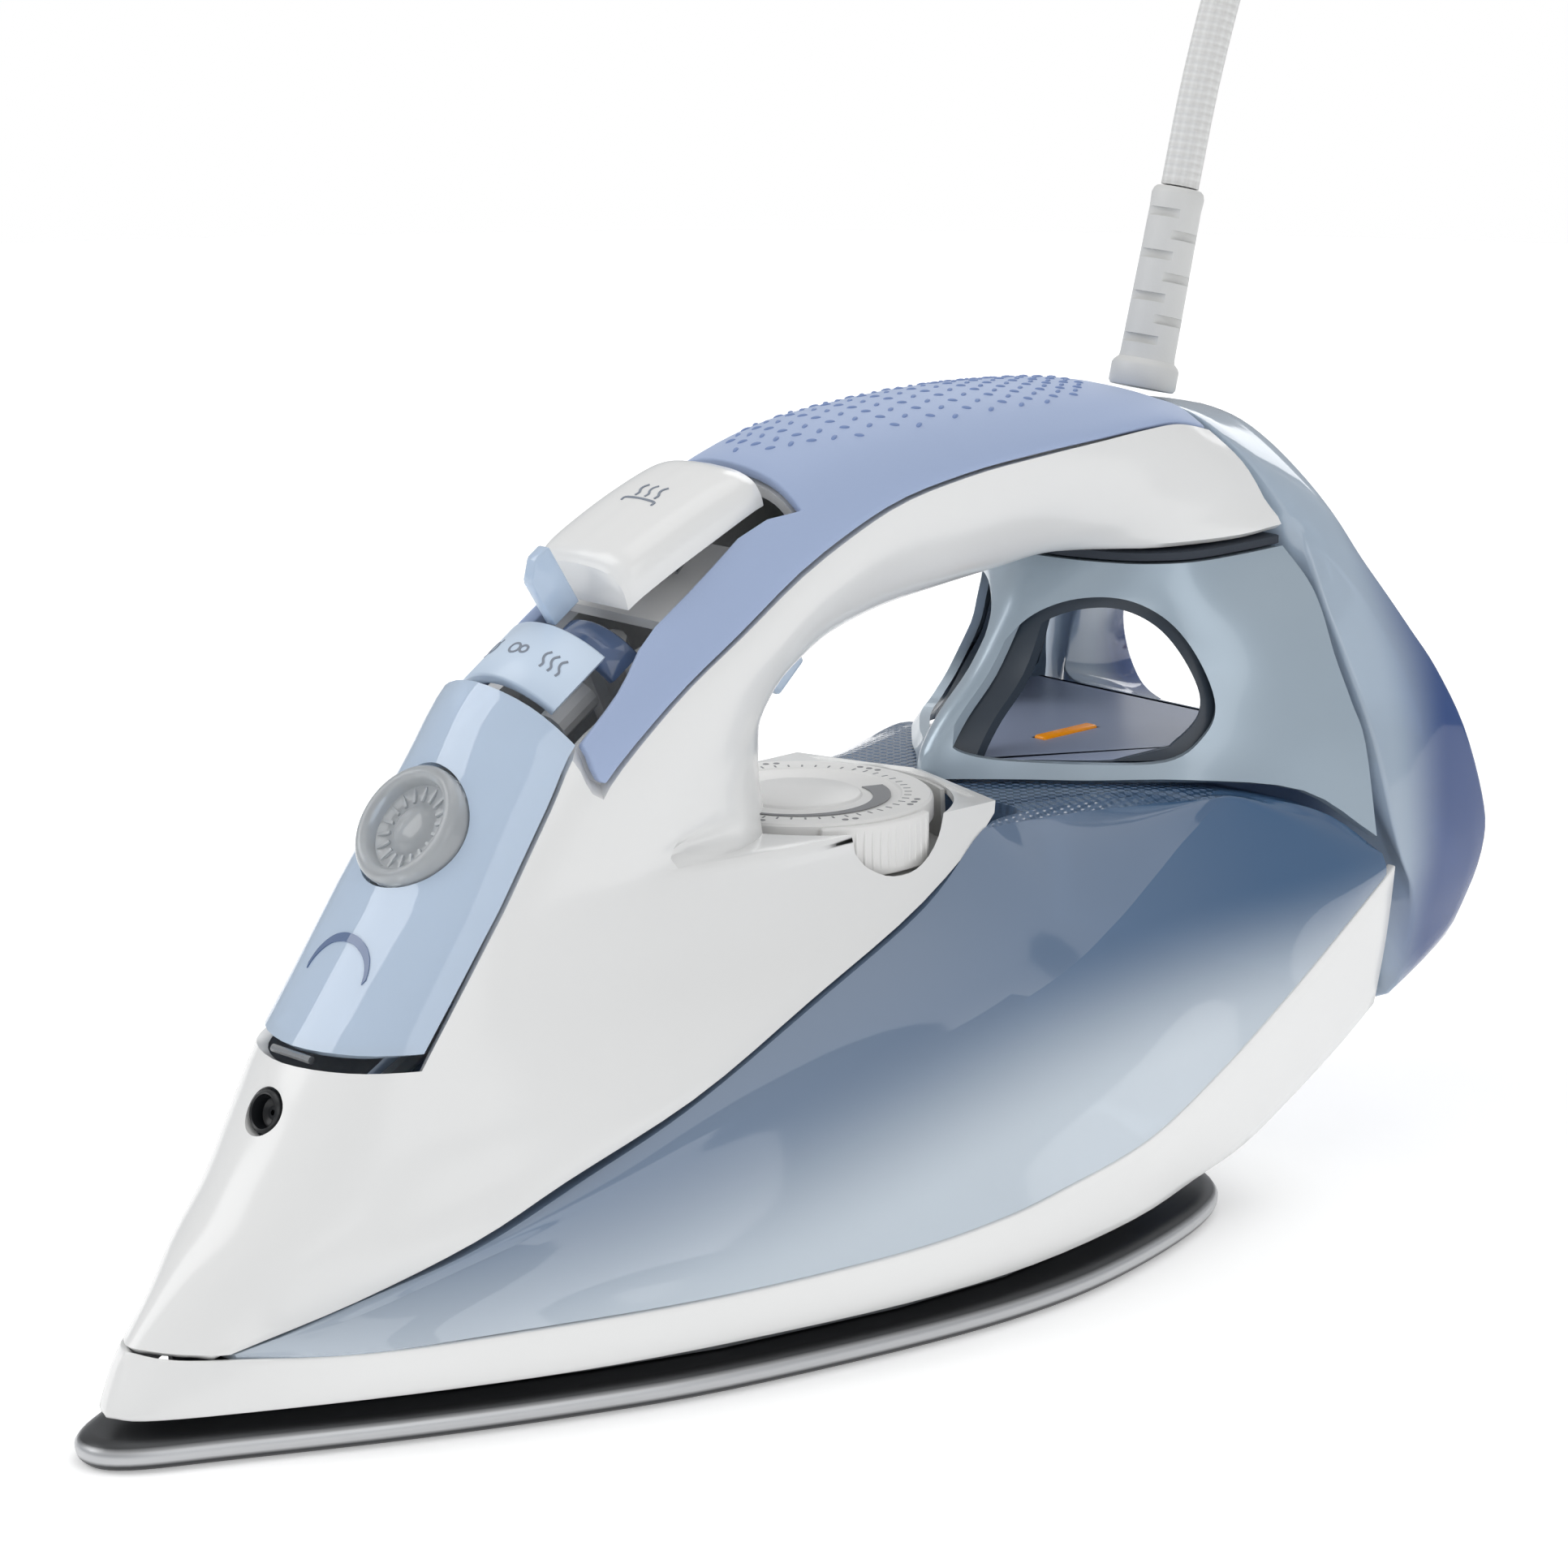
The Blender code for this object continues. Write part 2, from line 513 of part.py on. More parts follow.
def section_inset(section, thick):
    """A section of (x, s, z) points at one s, moved towards its inside by this much."""
    flat_points = section[:, [0, 2]]
    along = np.diff(flat_points, axis=0)
    along /= np.linalg.norm(along, axis=1)[:, None]
    normals = np.stack([along[:, 1], -along[:, 0]], 1)
    before = np.concatenate([normals[:1], normals])
    after = np.concatenate([normals, normals[-1:]])
    mitre = (before + after) / np.maximum(1 + (before * after).sum(1), 0.5)[:, None] * thick
    return section + np.stack([mitre[:, 0], np.zeros(len(section)), mitre[:, 1]], 1)


def heat_shield():
    low = np.array(SHIELD_LOW, float)
    high = np.array(SHIELD_HIGH, float)
    halves = [low + (high - low) * share for share in (0, 0.5, 1)]
    rows = [mirrored(half) for half in halves]
    count = len(rows[0])
    inner = [mirrored(half - plan_outward(half) * SHIELD_THICK) for half in halves]
    # The rear underside joins the two lower edges behind the soleplate, so it is raised inside.
    rear = 3
    for index in range(rear + 1):
        inner[0][index, 2] += SHIELD_THICK
        inner[0][count - 1 - index, 2] += SHIELD_THICK
    faces = [corners for _, _, corners in cells(3, count)]
    faces += [(index, count - 1 - index, count - 2 - index, index + 1) for index in range(rear)]
    double_skin("heat_shield", flat(rows), flat(inner), faces, WHITE)


def tank():
    shield = np.array(SHIELD_HIGH)
    low = [(np.interp(s, shield[:, 1], shield[:, 0]), np.interp(s, shield[:, 1], shield[:, 2])) for s in TANK_S]
    crease = along_line(CREASE, TANK_S)
    rim = along_line(RIM, TANK_S)
    rows = []
    inner = []
    for s, (xl, zl), (xc, zc), (xr, zr) in zip(TANK_S, low, crease, rim, strict=True):
        bulge = 1.6 * min(1, (s - 20) / 60) * min(1, (275 - s) / 40)
        foot = zl + 0.5
        rim_gap = 0.3 + 0.8 * min(1, (s - 26) / 30)
        # The dial's well stands over the middle of the roof.
        roof = min(zr - rim_gap - 0.5, WELL_FLOOR - 0.6) if s < 190 else min(zr - 0.5, DECK_Z)
        slope = max(2.5, zr - roof)
        side = np.array([(xl, s, foot), ((xl + xc) / 2 + bulge, s, (foot + zc) / 2), (xc, s, zc),
                         ((xc + xr) / 2, s, (zc + zr) / 2), (xr + 0.3, s, zr - rim_gap),
                         (xr - slope, s, roof), ((xr - slope) * 0.5, s, roof), (0, s, roof)])
        rows.append(mirrored(side[::-1]))
        thick = min(TANK_THICK, 0.2 * (zr - foot))
        inner.append(section_inset(rows[-1], thick))
        # Both feet stay level, so that they stand on the shield.
        inner[-1][0] = rows[-1][0] + (2 * thick, 0, 0)
        inner[-1][-1] = rows[-1][-1] - (2 * thick, 0, 0)
    faces = [corners for _, _, corners in cells(len(rows), len(rows[0]))]
    shell = double_skin("water_tank", flat(rows), flat(inner), faces, TANK_BLUE)
    cut(shell, rod("shaft_cutter", (0, DIAL_S, 20), (0, DIAL_S, 90), 4, DARK))
    cut(shell, rod("valve_cutter", (0, 104, 20), (0, 104, 90), 3.4, DARK))
    cut(shell, rod("hose_cutter", (12, 126, 20), (12, 126, 90), 3.4, DARK))
    outline = [(0, 84), (14, 88), (22, 100), (32, 120), (40, 142), (44, 170), (44, 196), (40, 216), (0, 222)]
    floor = plate("tank_floor", loop_of([(*p, 0) for p in outline])[:, :2], 29.4, 31.0, TANK_BLUE)
    cut(floor, rod("shaft_cutter_low", (0, DIAL_S, 20), (0, DIAL_S, 40), 4, DARK))
    cut(floor, rod("valve_cutter_low", (0, 104, 20), (0, 104, 40), 3.4, DARK))


def housing_grid():
    """The housing's outer surface: rows are sections, and columns run round each from its front centre."""
    rows = []
    for index, half in enumerate(HOUSING):
        if index >= DECK_ROW:
            rows.append(fine_half(half, COL_STEPS))
            continue
        # The wall of the nose ends at the tank's rim, and a straight line crosses to the centre.
        half = np.asarray(half, float)
        wall = curve_through([half[1] * (-1, 1, 1), *half[:-1]], COL_STEPS)[COL_STEPS:]
        rows.append(np.array([*wall, (wall[-1] + half[-1]) / 2, half[-1]]))
    return rows


def normals_of(grid, centre=(0, 115, 75)):
    """Outward direction at each point of a half grid, taken from its neighbours."""
    grid = np.asarray(grid)
    down = np.gradient(grid, axis=0)
    across = np.gradient(grid, axis=1)
    found = np.cross(down, across)
    found[..., 0][grid[..., 0] == 0] = 0
    found /= np.maximum(np.linalg.norm(found, axis=2, keepdims=True), 1e-9)
    return found if ((grid - np.array(centre)) * found).sum() > 0 else -found


def housing():
    grid = np.array(housing_grid())
    out = normals_of(grid)
    sunk = grid - out * (GRIP_THICK + 1.0)
    # The nose has level edges all round, and the deck lies square to them.
    for index in range(DECK_ROW):
        out[index] = plan_outward(grid[index])
        if index < DECK_ROW - 2:
            out[index, -3] = out[index, -4]
    out[DECK_ROW - 1, :, 2] = 0.64
    rows = []
    inner = []
    for index, row in enumerate(grid):
        top = sunk[index] if index >= GRIP_ROWS[0] else row
        # The column at the grip's edge stands twice: once under the grip and once flush with it.
        half = np.array([*top[: GRIP_COLUMN + 1], *row[GRIP_COLUMN:]])
        way = np.array([*out[index][: GRIP_COLUMN + 1], *out[index][GRIP_COLUMN:]])
        deep = np.full((len(half), 1), HOUSING_THICK)
        if index >= GRIP_ROWS[0]:
            deep[GRIP_COLUMN + 1] += GRIP_THICK + 1.0
        rows.append(loop_of(half))
        inner.append(loop_of(half - way * deep))
    count = len(rows[0])
    half_count = len(grid[0]) + 1
    faces = []
    for row, column, corners in cells(len(rows), count, closed=True):
        side = min(column, count - 1 - column)
        open_bottom = row < DECK_ROW - 2 and side >= half_count - 3
        door_open = DOOR_ROWS[0] <= row < DOOR_ROWS[1] and side < DOOR_COLUMN
        pocket = DOOR_ROWS[1] <= row < POCKET_END and side < DOOR_COLUMN
        if not (open_bottom or door_open or pocket):
            faces.append(corners)
    last = (len(rows) - 1) * count
    caps = [(last + a, last + a + 1, last + (count - a - 1) % count, last + (count - a) % count)
            for a in range(half_count - 1)]
    faces += [tuple(dict.fromkeys(cap)) for cap in caps]
    inner[-1] += (0, -HOUSING_THICK * 0.8, HOUSING_THICK * -0.5)
    shell = double_skin("upper_housing", flat(rows), flat(inner), faces, WHITE)
    cut(shell, rod("dial_cutter", (0, DIAL_S, WELL_FLOOR - 0.4), (0, DIAL_S, 87.5), WELL_RADIUS, DARK, 32))
    start = Vector(NOZZLE_CENTRE) - direction(NOZZLE_AXIS) * 8
    cut(shell, rod("nozzle_cutter", start, start + direction(NOZZLE_AXIS) * 16, 4.2, DARK, 16))
    cut(shell, block("trigger_cutter", (0, 153.5, 112), (5.4, 11.5, 14), DARK, 0.1, 0.75))


def grip():
    grid = np.array(housing_grid())[GRIP_ROWS[0]:GRIP_ROWS[1] + 1]
    out = normals_of(grid)
    half = grid[:, :GRIP_COLUMN + 1].copy()
    half[:, -1] = half[:, -1] * 0.8 + half[:, -2] * 0.2
    way = out[:, :GRIP_COLUMN + 1]
    rows = [mirrored(row) for row in half]
    inner = [mirrored(row) for row in half - way * GRIP_THICK]
    pocket = POCKET_END - GRIP_ROWS[0]
    faces = [corners for row, column, corners in cells(len(rows), len(rows[0]))
             if row >= pocket or not GRIP_COLUMN - DOOR_COLUMN <= column < GRIP_COLUMN + DOOR_COLUMN]
    double_skin("handle_grip", flat(rows), flat(inner), faces, SOFT_BLUE)


def filling_door():
    grid = np.array(housing_grid())
    out = normals_of(grid)
    rows = grid[DOOR_ROWS[0]:DOOR_ROWS[1] + 1, :DOOR_COLUMN + 1].copy()
    way = out[DOOR_ROWS[0]:DOOR_ROWS[1] + 1, :DOOR_COLUMN + 1]
    rows[0] = rows[0] * 0.77 + rows[1] * 0.23
    rows[-1] = rows[-1] * 0.92 + rows[-2] * 0.08
    rows[:, -1] = rows[:, -1] * 0.82 + rows[:, -2] * 0.18
    outer = [mirrored(row) for row in rows]
    inner = [mirrored(row) for row in rows - way * DOOR_THICK]
    faces = [corners for _, _, corners in cells(len(outer), len(outer[0]))]
    door = double_skin("filling_door", flat(outer), flat(inner), faces, CLEAR_BLUE, DOOR_HINGE)
    start = Vector(KNOB_CENTRE) - direction(KNOB_AXIS) * 20
    cut(door, rod("knob_cutter", start, start + direction(KNOB_AXIS) * 30, KNOB_RADIUS + 0.5, DARK, 28))
    turned("door_knob", KNOB_CENTRE, KNOB_AXIS,
           [(7.5, -13), (7.5, -8.5), (10.4, -8), (KNOB_RADIUS, -5.6), (KNOB_RADIUS, -4.4), (9.6, -3.4)],
           GLASSY, 28, DOOR_HINGE)
    x, s, z = DOOR_HINGE
    rod("door_hinge_pin", (-5, s, z), (5, s, z), 0.7, STEEL, 8)


def filler_tray():
    """The basin under the door, with the filling hole that the knob stops."""
    axis = direction(KNOB_AXIS)
    middle = Vector(KNOB_CENTRE) - axis * 16.5
    tray = block("filler_tray", middle, (25, 46, 1.6), WHITE, 0.3, math.atan2(-axis.y, axis.z))
    cut(tray, rod("filler_cutter", middle - axis * 8, middle + axis * 8, 5.5, DARK, 16))


def arc_shell(name, start, length, radius, thick, spread, finish, pivot, lift=0.0, steps=12):
    """Part of a sleeve round the selector's axis, reaching spread degrees to each side of the top."""
    axis = direction(SELECTOR_AXIS)
    top = axis.cross(Vector((1, 0, 0))) * -1
    top = top if top.z > 0 else -top
    rings = []
    for at in (start, start + length):
        ring = []
        for reach, way in ((radius, 1), (radius - thick, -1)):
            turns = [spread * (2 * k / steps - 1) for k in range(steps + 1)][::way]
            for turn in turns:
                angle = math.radians(turn)
                spot = Vector((1, 0, 0)) * math.sin(angle) + top * math.cos(angle)
                ring.append(Vector(SELECTOR_START) + axis * at + spot * (reach + lift))
        rings.append(ring)
    return loft(name, rings, finish, pivot)


def selector():
    arc_shell("steam_selector", 0.6, SELECTOR_LENGTH - 0.6, SELECTOR_RADIUS, 2.0, 50, WHITE, SELECTOR_START)
    axis = direction(SELECTOR_AXIS)
    up = Vector((0, -axis.z, axis.y))
    root = Vector(SELECTOR_START) + axis * (SELECTOR_LENGTH + 0.8) + up * (SELECTOR_RADIUS - 1.6)
    outline = [(0, 0), (0, 9.5), (3, 12.5), (6.5, 12.5), (6.5, 0)]
    rings = [[root + axis * a + up * b + Vector((x, 0, 0)) for a, b in outline] for x in (-1.2, 1.2)]
    loft("selector_lever", rings, CLEAR_BLUE, SELECTOR_START)
    arc_shell("control_tray", SELECTOR_LENGTH + 0.5, TRAY_LENGTH, SELECTOR_RADIUS - 6.2, 1.6, 66, TANK_BLUE,
              SELECTOR_START)
    rod("valve_rod", (0, 104, 32), (0, 104, 94), 1.6, STEEL, 8)
    turned("drip_valve", (0, 104, LID_Z[1] + GAP), (0, 0, 1), [(5, 0), (5, 4), (2.4, 6), (2.4, 14)], BRASS, 12)
    rear = Vector(SELECTOR_START) + axis * SELECTOR_LENGTH
    rod("selector_shaft", rear - axis * 9, rear, 3, WHITE, 12, SELECTOR_START)


def button_rings(stations):
    """Rings of the button: (s, z) of the crown, half width and depth below the crown."""
    into = direction(BUTTON_TRAVEL_AXIS)
    rings = []
    for s, z, half, low, high in stations:
        section = [(0, 0), (half * 0.55, 0.4), (half * 0.88, 1.8), (half, 4.2), (half, high)]
        ring = [Vector((x, s, z)) + into * (depth + low) for x, depth in section]
        rings.append(ring + [Vector((-p.x, p.y, p.z)) for p in ring[::-1]])
    return rings


def button():
    cap = [(108, 134, 10.5, 0, 8), (110, 137, 12, 0, 9), (117.5, 140.8, 12.6, 0, 9),
           (126.5, 144.6, 12.6, 0, 9), (135, 147.4, 12.2, 0, 8.4), (139.4, 147.2, 11, 0, 7)]
    loft("steam_button", button_rings(cap), WHITE)
    into = direction(BUTTON_TRAVEL_AXIS)
    base = [[Vector((x * 11.8, s, z)) + into * 14 + into * depth for x, depth in
             ((-1, 0), (1, 0), (1, 1.8), (-1, 1.8))] for s, z in ((112, 137.5), (134, 146.5))]
    loft("button_base", base, WHITE)
    spring = [(4 * math.cos(k * math.tau / 8), 4 * math.sin(k * math.tau / 8), k / 24 * 4) for k in range(25)]
    side, other, along = frame_for(into)
    root = Vector((0, 123, 143)) + into * 9.6
    coil = [root + side * a + other * b + along * c for a, b, c in spring]
    tube("button_spring", coil, 0.35, STEEL, 0)


def trigger():
    block("steam_trigger", (0, 153.5, 111.2), (3.2, 8.6, 13), CLEAR_BLUE, 0.8, 0.72, (0, 153.5, 111.2))


def nozzle():
    axis = direction(NOZZLE_AXIS)
    start = Vector(NOZZLE_CENTRE) - axis * 7
    profile = [(3.7, 0), (3.7, 7.0), (3.0, 7.6), (2.7, 5.0), (1.2, 4.4), (0.5, 4.4), (0.5, 0)]
    side, other, along = frame_for(axis)
    rings = []
    for radius, height in [*profile, profile[0]]:
        rings.append([start + along * height + (side * math.cos(a) + other * math.sin(a)) * radius
                      for a in (math.tau * k / 16 for k in range(16))])
    points = [p for ring in rings for p in ring]
    faces = [corners for _, _, corners in cells(len(rings), 16, closed=True)]
    build("spray_nozzle", points, faces, DARK)
    for name, x, finish in (("spray_pump", -6.5, WHITE), ("steam_pump", 6.5, WHITE)):
        turned(name, (x, 119, 117), (0, 0.42, -0.91), [(5, 0), (5, 20), (3, 20), (3, 24)], finish, 14)
    tube("spray_hose", spaced([(0, 47, 49.2), (-4, 60, 47), (-9, 85, 55), (-10, 112, 72), (-6.5, 129.8, 93.6)],
                              6), 1.6, RUBBER, 1)
    tube("steam_hose", spaced([(6.5, 129.8, 93.6), (9, 131, 80), (12, 128, 60), (12, 126, 36)], 6), 1.6,
         RUBBER, 1)


def dial():
    low, high = DIAL_Z
    rings = []
    for radius, z in ((22.5, low - 1.2), (DIAL_RADIUS, low), (DIAL_RADIUS, high - 0.8), (DIAL_RADIUS - 0.8, high),
                      (17.2, high), (16.4, high - 0.5)):
        rings.append([(radius * math.cos(a), DIAL_S + radius * math.sin(a), z)
                      for a in (math.tau * k / 40 for k in range(40))])
    loft("temperature_dial", rings, WHITE, (0, DIAL_S, 0))
    turned("dial_scale", (0, DIAL_S, high - 0.2), (0, 0, 1), [(15.9, 0), (15.9, 0.6)], RUBBER, 40,
           bore=11.5)
    ring = []
    for reach, way in ((26.0, 1), (24.3, -1)):
        for k in range(7)[::way]:
            angle = math.radians(-36 + 9 * k)
            ring.append((reach * math.cos(angle), DIAL_S + reach * math.sin(angle)))
    loft("dial_tab", [[(x, s, z) for x, s in ring] for z in (WELL_FLOOR + 2, high - 0.4)], WHITE,
         (0, DIAL_S, 0))
    rod("dial_shaft", (0, DIAL_S, 26.2), (0, DIAL_S, low - 1.5), 2.4, STEEL, 12, (0, DIAL_S, 0))
    points = []
    sides = 48
    for radius, floor_z in ((2.9, False), (WELL_RADIUS - 0.4, False), (WELL_RADIUS - 0.4, True),
                            (WELL_RADIUS - 1.2, True), (WELL_RADIUS - 1.2, None), (2.9, None)):
        for k in range(sides):
            angle = math.tau * k / sides
            wall = 83.4 if abs(math.sin(angle)) > 0.86 else WELL_FLOOR + 1.6
            z = wall if floor_z else WELL_FLOOR + (1.2 if floor_z is None else 0)
            points.append((radius * math.cos(angle), DIAL_S + radius * math.sin(angle), z))
    points += points[:sides]
    faces = [corners for _, _, corners in cells(7, sides, closed=True)]
    build("dial_well", points, faces, WHITE)


def column_rows(drop):
    """The column's surface, sunk by drop and mirrored across the centre."""
    rows = np.array(COLUMN, float)
    out = normals_of(rows, (0, 262, 95))
    rows = rows - out * drop
    rows[:, 0, 0] = 0
    return [mirrored(row) for row in rows]


def roofed(name, outer, inner, thick, finish):
    """A column shell, closed over the top."""
    count = len(outer[0])
    inner[-1] = inner[-1] * (1, 1, 0) + outer[-1] * (0, 0, 1) - (0, 0, thick)
    faces = [corners for _, _, corners in cells(len(outer), count)]
    last = (len(outer) - 1) * count
    roof = [(last + a, last + a + 1, last + count - 2 - a, last + count - 1 - a)
            for a in range((count - 1) // 2)]
    faces += [tuple(dict.fromkeys(face)) for face in roof]
    return double_skin(name, flat(outer), flat(inner), faces, finish)


def window_cutter(name, side, inset):
    """A slanted prism through the window on one side, square to the diagonal wall."""
    middle = np.mean(WINDOW, axis=0)
    rings = []
    for x in (2.6 + inset, 60):
        ring = []
        for run, z in WINDOW:
            away = np.array((run, z)) - middle
            run, z = middle + away * (1 - inset / np.linalg.norm(away))
            ring.append((side * x, run * math.sqrt(2) - x, z))
        rings.append(ring)
    return loft(name, rings, DARK)


def column():
    shell = roofed("rear_column", column_rows(0), column_rows(COLUMN_THICK), COLUMN_THICK, SILVER_BLUE)
    depths = (COLUMN_THICK + 0.9, COLUMN_THICK + 0.9 + LINER_THICK)
    liner_rows = [column_rows(depth)[1:] for depth in depths]
    for row in [*liner_rows[0], *liner_rows[1]]:
        row[:, 2] = np.clip(row[:, 2], PAD_TOP + 0.4, 117.2)
        row[:, 1] = np.minimum(row[:, 1], 263.2)
    liner = roofed("column_liner", *liner_rows, LINER_THICK, DARK)
    for side, word in ((1, "right"), (-1, "left")):
        cut(shell, window_cutter("window_cutter_" + word, side, 0))
        cut(liner, window_cutter("liner_cutter_" + word, side, 2.6))
    top = np.array(COLUMN[-1])
    ring = loop_of([*top, (0, 261.6, 119.6)])
    middle = np.array((0, 246, 119.6))
    rings = [[(p - middle) * (0.975, 0.975, 1) + middle + (0, 0, dz) for p in ring] for dz in (0.3, 2.1)]
    loft("column_gasket", rings, DARK)
    floor = column_rows(COLUMN_THICK + LINER_THICK + 1.6)[1]
    half = [p for p in floor[len(floor) // 2:]]
    half[-1][1] = 262.8
    outline = loop_of([*[(x, s, 0) for x, s, _ in half], (0, 262.8, 0)])[:, :2]
    pad = plate("indicator_pad", outline, DECK_Z + GAP, PAD_TOP, SOFT_BLUE)
    cut(pad, block("light_cutter", (0, 231, PAD_TOP), (3.4, 15.4, 3.2), DARK, 0.4))
    block("indicator_light", (0, 231, PAD_TOP - 0.45), (2.7, 14.6, 1.7), AMBER, 0.5)


def heel():
    loops = [HEEL_FRONT, HEEL_BACK, HEEL_WINDOW, HEEL_INSIDE, HEEL_FRONT]
    rings = [loop_of(loop) for loop in loops]
    count = len(rings[0])
    points = [p for ring in rings for p in ring]
    faces = [corners for _, _, corners in cells(len(rings), count, closed=True)]
    build("heel_cover", points, faces, HEEL_BLUE)


def wiring():
    """What the handle and its bowl hold behind the grip."""
    block("control_board", (0, 190, 136), (20, 34, 1.6), BOARD, 0.3)
    block("terminal_block", (0, 214, 137), (16, 9, 9), WHITE, 0.8)
    block("cord_clamp", (0, 232, 132), (14, 6, 8), WHITE, 0.8)


def screws():
    for x, word in ((14, "right"), (-14, "left")):
        turned("lid_screw_" + word, (x, 128, LID_Z[1] + GAP), (0, 0, 1),
               [(2, 0), (3.4, 0.4), (3.4, 2.2), (2.4, 2.8)], STEEL, 10)


def lead():
    axis = direction(BUSH_AXIS)
    base = Vector(BUSH_BASE)
    ribs = []
    for step in range(7):
        low = 7 + step * 3.4
        radius = BUSH_RADIUS - 0.14 * step
        ribs += [(radius, low), (radius, low + 2.1), (radius - 0.9, low + 2.3), (radius - 0.9, low + 3.2)]
    profile = [(6.4, 0), (6.4, 4.5), (BUSH_RADIUS, 6), *ribs, (4.9, 31.2), (5.1, BUSH_LENGTH - 0.8),
               (4.6, BUSH_LENGTH)]
    turned("cord_bushing", base, BUSH_AXIS, profile, LEAD, 16)
    start = base + axis * (BUSH_LENGTH + 0.35)
    route = [tuple(start), *CORD_ROUTE[1:]]
    tube("power_cord", spaced(route, 13), CORD_RADIUS, LEAD)
    x, s = COIL_CENTRE
    rings = []
    for k in range(12):
        angle = math.tau * k / 12
        across = COIL_MIDDLE + COIL_WIDE / 2 * math.cos(angle)
        rings.append((across, 0.15 + COIL_TALL / 2 * (1 + math.sin(angle))))
    sides = 32
    points = [(x + radius * math.cos(a), s + radius * math.sin(a), z)
              for radius, z in [*rings, rings[0]] for a in (math.tau * k / sides for k in range(sides))]
    faces = [corners for _, _, corners in cells(13, sides, closed=True)]
    build("cord_coil", points, faces, LEAD)
    plug(x, s)


def plug(x, s):
    turned("plug_body", (x - 10, s + 35, PLUG_Z), (1, 0, 0),
           [(4.2, 0), (5.5, 9), (12, 14), (13.4, 17), (13.4, 40), (12.6, 41)], LEAD, 20)
    for way, word in ((1, "rear"), (-1, "front")):
        rod("plug_pin_" + word, (x + 31.3, s + 35 + way * 9, PLUG_Z), (x + 50, s + 35 + way * 9, PLUG_Z), 2.0, BRASS,
            10)


def main():
    clear_scene()
    soleplate()
    steam_chamber()
    heater()
    heat_shield()
    tank()
    housing()
    grip()
    filling_door()
    filler_tray()
    selector()
    button()
    trigger()
    nozzle()
    dial()
    column()
    heel()
    wiring()
    screws()
    lead()


main()
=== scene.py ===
"""The looks of a steam iron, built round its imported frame.

Figures are in millimetres. A point is (x, s, z): x is measured across, s from the tip of the
soleplate towards the heel, and z up from the ironed surface. placed() turns points into the frame's metres.
"""
import math

import bmesh
import bpy
import numpy as np
from mathutils import Matrix, Vector


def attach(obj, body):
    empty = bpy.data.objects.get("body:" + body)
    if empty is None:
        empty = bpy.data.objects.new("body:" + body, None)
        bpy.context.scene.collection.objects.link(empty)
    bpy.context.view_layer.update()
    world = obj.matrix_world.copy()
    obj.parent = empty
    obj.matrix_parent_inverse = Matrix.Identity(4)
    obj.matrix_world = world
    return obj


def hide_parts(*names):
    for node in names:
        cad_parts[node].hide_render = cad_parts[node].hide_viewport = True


bl_info = {
    "name": "Steam Iron",
    "version": (1, 0, 0),
    "blender": (4, 5, 0),
    "location": "View3D > Sidebar > Iron",
    "description": "Builds the pieces, finishes and studio of a steam iron",
    "category": "Add Mesh",
}

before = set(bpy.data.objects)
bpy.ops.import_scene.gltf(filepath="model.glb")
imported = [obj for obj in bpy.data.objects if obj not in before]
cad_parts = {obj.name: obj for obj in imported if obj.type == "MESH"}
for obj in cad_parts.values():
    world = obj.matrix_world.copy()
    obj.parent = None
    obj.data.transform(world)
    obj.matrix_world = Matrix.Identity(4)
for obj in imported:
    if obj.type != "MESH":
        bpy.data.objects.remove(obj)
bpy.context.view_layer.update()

MM = 0.001
LENGTH = 298.0
ROW_STEPS = 4  # fine rows between two sections of the housing
COLUMN_STEPS = 4  # fine columns between two points of a section

GAP = 0.3

# Soleplate
SOLE_THICK = 5.0
SOLE_HALF = [(0, 0), (7, 4), (15, 19), (28, 45), (39, 71), (48, 98), (56, 139), (58, 168),
             (55, 193), (48, 218), (39, 232), (22, 239.5)]
SOLE_END = (0, 240)
VENT_RADIUS = 1.6
VENTS = [(9, 38), (16, 58), (23, 80), (30, 104), (36, 132), (38, 160), (0, 30), (7, 72), (12, 104)]

# Heat shield: lower and upper edge, from the nose to the heel
SHIELD_LOW = [(0, 4.5, 7.8), (6, 8, 7.8), (14, 21, 7.8), (27, 47, 7.8), (38, 74, 7.8), (46, 100, 8),
              (53, 135, 8), (55, 165, 8.2), (52, 195, 8.8), (46, 218, 9.5), (42, 236, 11),
              (41.5, 250, 17), (42, 263, 24.5), (42, 273.5, 31)]
SHIELD_HIGH = [(0, 9, 18), (6, 12.5, 17.3), (12, 20, 16.8), (26, 39, 16.7), (37, 65, 17),
               (48, 96, 17.6), (57, 128, 19.3), (59.8, 150, 20.8), (59.8, 167, 22.6), (59.3, 190, 26.4),
               (56.5, 213, 34), (54, 232, 42), (51.5, 248, 49), (47, 272.5, 59.5)]
SHIELD_THICK = 2.2

# Tank: lines along its side from bottom to top, each a list from the nose to the heel
TANK_S = [29, 36, 46, 60, 78, 100, 124, 150, 172, 183, 189.6, 191, 200, 214, 228, 242, 257, 268.8]
CREASE = [(14.5, 26, 18.5), (20, 40, 21), (28.5, 60, 28), (35.5, 80, 34.3), (41, 101, 39.3),
          (47.5, 134, 46.6), (50, 173, 57), (49.5, 190, 64), (47.5, 203, 70), (44, 217, 75.2),
          (42, 230, 78.5), (45.5, 242, 72), (48.5, 256, 63), (47, 271, 60.8)]
RIM = [(13.5, 26, 18.6), (18, 40, 23), (27.5, 60, 31), (31.5, 80, 39.2), (35, 101, 47.8), (34, 131, 59.5),
       (30, 162, 70), (27, 179, 80), (26, 187, 81.6), (28, 200, 81.6), (32, 213, 81.6), (38.5, 228, 80.6),
       (41.6, 242, 77.8), (43.4, 257, 72.3), (46, 271, 62)]
